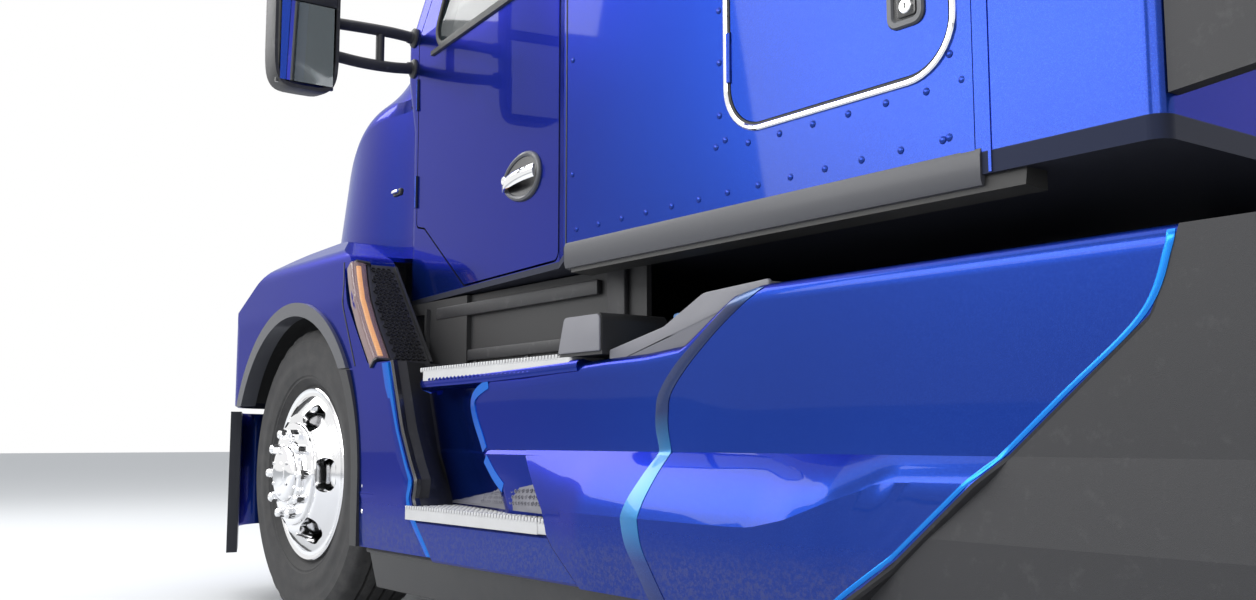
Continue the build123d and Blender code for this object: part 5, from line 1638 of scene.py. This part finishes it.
@made("headlampCores", "hood", [glossBlack, whiteLens, chrome, amberLens], "both")
def headlampPiece(maker):
    # two projectors in a dark housing, a bright strip over them, and the turn signal's cells
    for spot, aim, r in ((at(1096, 838, 988), (1, 0.42, 0), 44), (at(1030, 968, 996), (1, 0.66, 0), 40)):
        place = facing(spot, aim)
        housing = [(r + 18, -70), (r + 16, -20), (r + 10, 4), (r + 5, 6), (r + 3, 0), (r, -14)]
        maker.lathe(housing, place, 40)
        maker.lathe([(r, -14), (r * 0.92, -6), (r * 0.6, 6), (0, 12)], place, 40, 1)
        maker.lathe([(r + 9, 3), (r + 10, 7), (r + 6, 7.5), (r + 5, 4)], place, 40, 2)
    strip = [at(1128, 770, 1052), at(1092, 880, 1058), at(1026, 990, 1062), at(930, 1082, 1064)]
    maker.sweep(smoothLine(strip, 10), [(-6, -8), (6, -8), (6, 2), (3, 5), (-3, 5), (-6, 2)],
                (0.85, 0.5, 0), 1)
    for k in range(4):
        maker.block((26, 16, 10), facing(at(930 - 22 * k, 1086 + 9 * k, 1000), (0.5, 0.85, 0)), 3, 3)


@made("bumperDetails", "chassis", [chrome, whiteLens, blackPlastic, greyPlastic])
def bumperPiece(maker):
    # lamp bezels, a blank number plate, a slatted opening, tow covers and screws
    ahead = (1, 0, 0)
    for side in (-1, 1):
        place = facing(at(1190, side * 720, 450), (1, side * 0.36, 0))
        maker.lathe([(62, -12), (62, 4), (56, 9), (48, 6), (46, 0)], place, 40)
        maker.lathe([(46, 0), (30, 5), (0, 7)], place, 40, 1)
    maker.block((320, 130, 6), facing(at(1268, 0, 620), ahead), 4, 2)
    maker.block((312, 122, 3), facing(at(1272, 0, 620), ahead), 2, 3)
    for k in range(6):
        maker.span(at(1236, -400, 345 + 30 * k), at(1254, 400, 357 + 30 * k), 4, 2)
    for y in (-385, 385):
        maker.lathe([(46, -6), (46, 3), (40, 6), (0, 6)], facing(at(1262, y * 0.98, 600), ahead), 36, 2)
    screws = [(at(1263, y, z), ahead) for y in (-440, -220, 220, 440) for z in (300, 706)]
    maker.domes(screws, 11, 6, 0, 14)


@made("hoodTrims", "hood", [chrome, blackPlastic], "both")
def hoodTrim(maker):
    # air slots in the hood's side, and the latch at its rear edge
    for z in (1120, 1148, 1176, 1204):
        slot = at(560 - z * 0.02, 833 - (z - 1120) * 0.28, z + 110)
        maker.block((150, 12, 9), facing(slot, (0.1, 1, 0.25)), 4, 1)
    strap = facing(at(-250, 968, 1500), (0, 1, 0.1))
    maker.block((60, 26, 16), strap, 6, 1)
    maker.block((44, 12, 14), strap @ put(0, 0, 12), 4)


@made("wipers", "chassis", [blackPlastic, sealRubber])
def wiperPiece(maker):
    # two arms with their blades on the windscreen's foot
    out = (0.9, 0, 0.45)
    for x, y in ((-92, 90), (-150, -690)):
        foot = at(x, y, 2016)
        maker.lathe([(20, -10), (20, 14), (14, 22), (0, 22)], facing(foot, out), 24)
        reach = at(foot.x - 60, y + 480, 2110)
        arm = [foot + at(16, 0, 6), (foot + reach) / 2 + at(26, 0, 8), reach + at(12, 0, 0)]
        maker.sweep(arm, [(-7, -3), (7, -3), (6, 5), (-6, 5)], out)
        blade = [reach + at(2 - 0.02 * s, s * 0.8, 0.30 * s) for s in range(-280, 290, 40)]
        maker.sweep(blade, [(-4, -9), (4, -9), (6, 2), (0, 7), (-6, 2)], out, 1)


@made("roofDetails", "chassis", [blackPlastic, amberLens, darkGreyPlastic, chrome])
def roofPiece(maker):
    # five marker lamps, a sun visor with its stays, two horns and an aerial
    for y in (-720, -360, 0, 360, 720):
        place = put(-690, y, 2982) @ spin(-30, "Y")
        maker.block((120, 64, 16), place, 7)
        maker.block((92, 46, 30), place @ put(4, 0, 14), 13, 1, 3)
    rows = []
    for y in range(-900, 901, 75):
        curve = 1 - (y / 1000) ** 2
        rows.append([at(-690 + 215 * curve - s * 0.9, y, 2840 + s * 0.5) for s in (-70, 0, 70, 130)])
    maker.sheet(rows, 2, thick=(4, 0, -9))
    for y in (-600, -200, 200, 600):
        maker.tube([at(-560, y, 2860), at(-640, y, 2870), at(-720, y, 2900)], 8, 10, 3)
    for y in (-210, 210):
        maker.lathe([(0, -190), (26, -190), (28, -150), (14, -120), (15, 40), (24, 110), (52, 175), (60, 186),
                     (56, 188), (30, 150), (0, 120)], facing(at(-1020, y, 3262), (1, 0, 0.05)), 32, 3)
        maker.span(at(-1110, y - 16, 3190), at(-1080, y + 16, 3250), 5, 3)
    maker.tube([at(-900, -860, 3010), at(-905, -866, 3200), at(-930, -880, 3500)], 4, 8)
    maker.lathe([(22, 0), (20, 16), (8, 34), (0, 34)], put(-900, -858, 2985), 20)


print("chassis")

rail = {"y": 432, "bolts": (800, 950), "pitch": 190}


@made("frameDetails", "chassis", [axleIron, framePaint, sealRubber], "both")
def frameDetails(maker):
    # bolted joints, axle clamps, brake chambers, shock absorbers and air bags
    spots = [at(x, rail["y"], z) for x in range(-6600, 1000, rail["pitch"]) for z in rail["bolts"]]
    maker.domes([(p, (0, 1, 0)) for p in spots], 13, 9, 0, 6)
    for x in wheel["drive"].values():
        for step in (-52, 52):
            clamp = [at(x + step, y, z) for y, z in ((366, 360), (366, 610), (434, 610), (434, 360))]
            maker.tube(clamp, 10, 10)
            for y in (366, 434):
                maker.lathe([(17, 0), (17, 16), (10, 16), (10, 26), (0, 26)],
                            facing(at(x + step, y, 366), (0, 0, -1), (1, 0, 0)), 6)
        maker.span(at(x - 80, 350, 612), at(x + 80, 450, 636), 6)
        chamber = facing(at(x + 190, 470, 640), (-1, 0, 0.1))
        maker.lathe([(0, 0), (70, 0), (82, 14), (84, 50), (92, 54), (92, 66), (84, 70), (80, 116), (60, 132),
                     (0, 134)], chamber, 40, 1)
        maker.lathe([(9, -110), (9, 0)], chamber, 12)
        for k in range(6):
            maker.lathe([(111, 0), (122, 10), (125, 20), (122, 30), (111, 40)],
                        put(x - 330, 395, 452 + 46 * k), 40, 2)
        maker.lathe([(116, 0), (116, 12), (100, 20)], put(x - 330, 395, 726), 40)
        maker.tube([at(x - 120, 470, 470), at(x - 60, 480, 900)], 32, 20, 1)
        maker.tube([at(x - 112, 471, 520), at(x - 88, 475, 700)], 40, 20)
    for x in (-785, 685):
        maker.lathe([(30, -8), (30, 6), (16, 10), (16, 20), (0, 20)], facing(at(x, 426, 604), (0, 1, 0)), 20)
    maker.tube([at(180, 480, 470), at(230, 470, 930)], 30, 20, 1)
    for x in (-300, 300):
        maker.block((80, 96, 26), put(x, 386, 520), 6)


@made("deckDetails", "chassis",
      [plainSteel, whiteLens, framePaint, redLens, blueAndEdgeHighlightPaint, tankMetal])
def deckDetails(maker):
    # bolts on the deck, the wall's air couplings, work lamps and grab rails, and the air tanks in the frame
    for x in range(-3400, -4090, -230):
        for y in (-380, 380):
            maker.domes([(at(x, y, 1032), (0, 0, 1))], 13, 7, 0, 6)
    for y, finish in ((-250, 3), (0, 4), (250, 0)):
        place = facing(at(-3360, y, 1560), (-1, 0, 0))
        maker.lathe([(34, 0), (34, 14), (24, 20), (24, 34), (30, 38), (30, 46), (0, 48)], place, 28, finish)
        maker.block((84, 30, 10), place @ put(0, 0, 4), 4)
    maker.span(at(-3252, -330, 1470), at(-3330, 330, 1650), 10, 2)
    for y in (-620, 620):
        place = facing(at(-3300, y, 2500), (-1, 0, -0.15))
        maker.lathe([(58, -40), (62, -6), (62, 6), (56, 8), (52, 2)], place, 36, 2)
        maker.lathe([(52, 2), (30, 6), (0, 7)], place, 36, 1)
    for z in (1300, 1620, 1940):
        maker.tube([at(x, y, z) for x, y in ((-3300, 700), (-3330, 700), (-3330, 960), (-3300, 960))], 13)
    for x in (-4300, -6420):
        for y in (-180, 180):
            place = facing(at(x, y, 800), (0, 1 if y > 0 else -1, 0))
            maker.lathe([(0, -160), (60, -160), (108, -132), (116, -100), (116, 90), (108, 122), (60, 148),
                         (0, 148)], place, 40, 5)
            for s in (-70, 70):
                maker.lathe([(118, s - 14), (120, s - 12), (120, s + 12), (118, s + 14)], place, 40)


stack = {"x": -3420, "y": -700, "pitch": 44, "around": 16}


@made("stackDetails", "chassis", [stackSteel, plainSteel])
def stackDetails(maker):
    # the heat shield round the exhaust, in rows of plates, with its clamps and a turned tip
    x, y, pitch = stack["x"], stack["y"], stack["pitch"]
    for z in range(1240, 3000, pitch):
        for k in range(stack["around"]):
            a = math.tau * (k + (0.5 if (z // pitch) % 2 else 0)) / stack["around"]
            out = at(math.cos(a), math.sin(a), 0)
            maker.block((16, 34, 3), facing(at(x, y, z) + out * 72, out), 1.4, 0, 1)
    for z in (1210, 2080, 3030):
        clamp = [(62, -22), (76, -20), (79, -8), (79, 8), (76, 20), (62, 22)]
        maker.lathe(clamp, put(x, y, z), 48, 1)
        maker.block((60, 30, 26), put(x + 84, y, z), 5, 1)
    maker.lathe([(62, 0), (66, 4), (66, 40), (60, 44), (58, 36), (58, 0)], put(x, y, 3462))


coupling = {"x": -5200, "top": 1230, "grooves": (190, 270, 350)}


@made("couplingDetails", "fifth_wheel", [greaseSteel, plainSteel])
def fifthDetails(maker):
    # the coupling plate's grease grooves, the jaw's edge and the release handle
    x, top = coupling["x"], coupling["top"]
    for side in (-1, 1):
        for r in coupling["grooves"]:
            arc = [at(x + r * math.cos(a), side * r * math.sin(a), top + 0.6)
                   for a in (math.radians(35 + 100 * j / 20) for j in range(21))]
            maker.sweep(arc, [(-4, -1), (4, -1), (3, 1.2), (-3, 1.2)], (0, 0, 1))
    ring = [at(x + 42 * math.cos(a), 42 * math.sin(a), top + 0.5)
            for a in (math.radians(-140 + 280 * j / 40) for j in range(41))]
    maker.sweep(ring, [(-9, -1), (9, -1), (8, 2.4), (-8, 2.4)], (0, 0, 1), 1)
    for path in ([(60, 300, 1165), (40, 430, 1150), (36, 540, 1146)],
                 [(36, 540, 1146), (70, 560, 1146), (84, 540, 1146)]):
        maker.tube([at(x + a, y, z) for a, y, z in path], 11, 12, 1)


@made("rearDetails", "chassis", [framePaint, redLens, plainSteel], "both")
def rearDetails(maker):
    # the tail lamp's box and lenses, and the mud flap's arm, bolts and bar
    back = (-1, 0, 0)
    maker.block((92, 112, 12), facing(at(-6692, 384, 910), back), 6)
    for z in (886, 934):
        maker.lathe([(19, 4), (17, 9), (8, 12), (0, 12)], facing(at(-6694, 384, z), back), 28, 1)
    maker.tube([at(-6600, 432, 880), at(-6640, 560, 905), at(-6646, 1215, 905)], 15, 14)
    for y in (680, 860, 1040, 1160):
        maker.lathe([(12, 0), (12, 8), (0, 10)], facing(at(-6652, y, 880), back), 6, 2)
    maker.block((560, 26, 5), facing(at(-6653, 918, 880), back), 2, 2)


def backdropWorld():
    # plain white where the camera, metal and glass see it, softer as a light
    world = bpy.data.worlds.new("studioWorld")
    bpy.context.scene.world = world
    world.use_nodes = True
    g = Graph(world.node_tree)
    camera, glossy, through = (g.add("ShaderNodeLightPath", output=name)
                               for name in ("Is Camera Ray", "Is Glossy Ray", "Is Transmission Ray"))
    soft = g.add("ShaderNodeBackground", {}, {"Color": studio["sky"], "Strength": studio["ambient"]})
    white = g.add("ShaderNodeBackground", {}, {"Color": rgb(1, 1, 1)})
    chosen = g.add("ShaderNodeMixShader", {}, {0: camera + glossy + through, 1: soft, 2: white})
    g.add("ShaderNodeOutputWorld", {}, {"Surface": chosen}, None)


studio = {
    "ambient": 0.70, "sky": rgb(0.93, 0.96, 1.0),
    "lamps": [("overhead", (0, 1, 10), (0, 0, 0), (18, 10), 720),
              ("leftFront", (5, 10, 5), (1, 0, 1.2), (8, 4), 450),
              ("bulge", (8.5, 3.8, 6.2), (0.4, 1.2, 0.5), (5, 3.5), 260),
              ("leftRear", (-6, 10, 4.5), (-1, 0, 1.2), (8, 4), 300),
              ("rightSide", (0, -11, 6), (0, 0, 1.2), (10, 5), 350)],
    "floor": rgb(0.66, 0.67, 0.68), "reach": 60,
}


def lights():
    for name, spot, aim, size, power in studio["lamps"]:
        data = bpy.data.lights.new(name, "AREA")
        data.shape = "RECTANGLE"
        data.size, data.size_y = size
        data.energy = power
        lamp = linked(name, data)
        lamp.location = spot
        lamp.rotation_euler = (Vector(aim) - Vector(spot)).to_track_quat("-Z", "Y").to_euler()


def floorPiece():
    f = Finish("studioFloor")
    tone = f.mix(f.noise(3, 5) * 0.3, studio["floor"], shade(studio["floor"], 0.94))
    reach = studio["reach"]
    mesh = bpy.data.meshes.new("floor")
    mesh.from_pydata([(-reach, -reach, 0), (reach, -reach, 0), (reach, reach, 0), (-reach, reach, 0)], [],
                     [(0, 1, 2, 3)])
    mesh.materials.append(f.done({"Base Color": tone, "Roughness": 0.85}))
    linked("floor", mesh)


camera = {"place": (-1.51, 2.87, 0.63), "yaw": -36.2, "pitch": 6.4, "lens": 35.54}


def addCamera():
    data = bpy.data.cameras.new("camera")
    data.lens, data.sensor_width = camera["lens"], 36
    data.sensor_fit = "HORIZONTAL"
    data.clip_end = 200
    thing = linked("camera", data)
    yaw, pitch = math.radians(camera["yaw"]), math.radians(camera["pitch"])
    look = at(math.cos(pitch) * math.cos(yaw), math.cos(pitch) * math.sin(yaw), math.sin(pitch))
    thing.location = camera["place"]
    thing.rotation_euler = look.to_track_quat("-Z", "Y").to_euler()
    bpy.context.scene.camera = thing


print("stage")
backdropWorld()
lights()
floorPiece()
addCamera()
bpy.context.scene.view_settings.view_transform = "Standard"
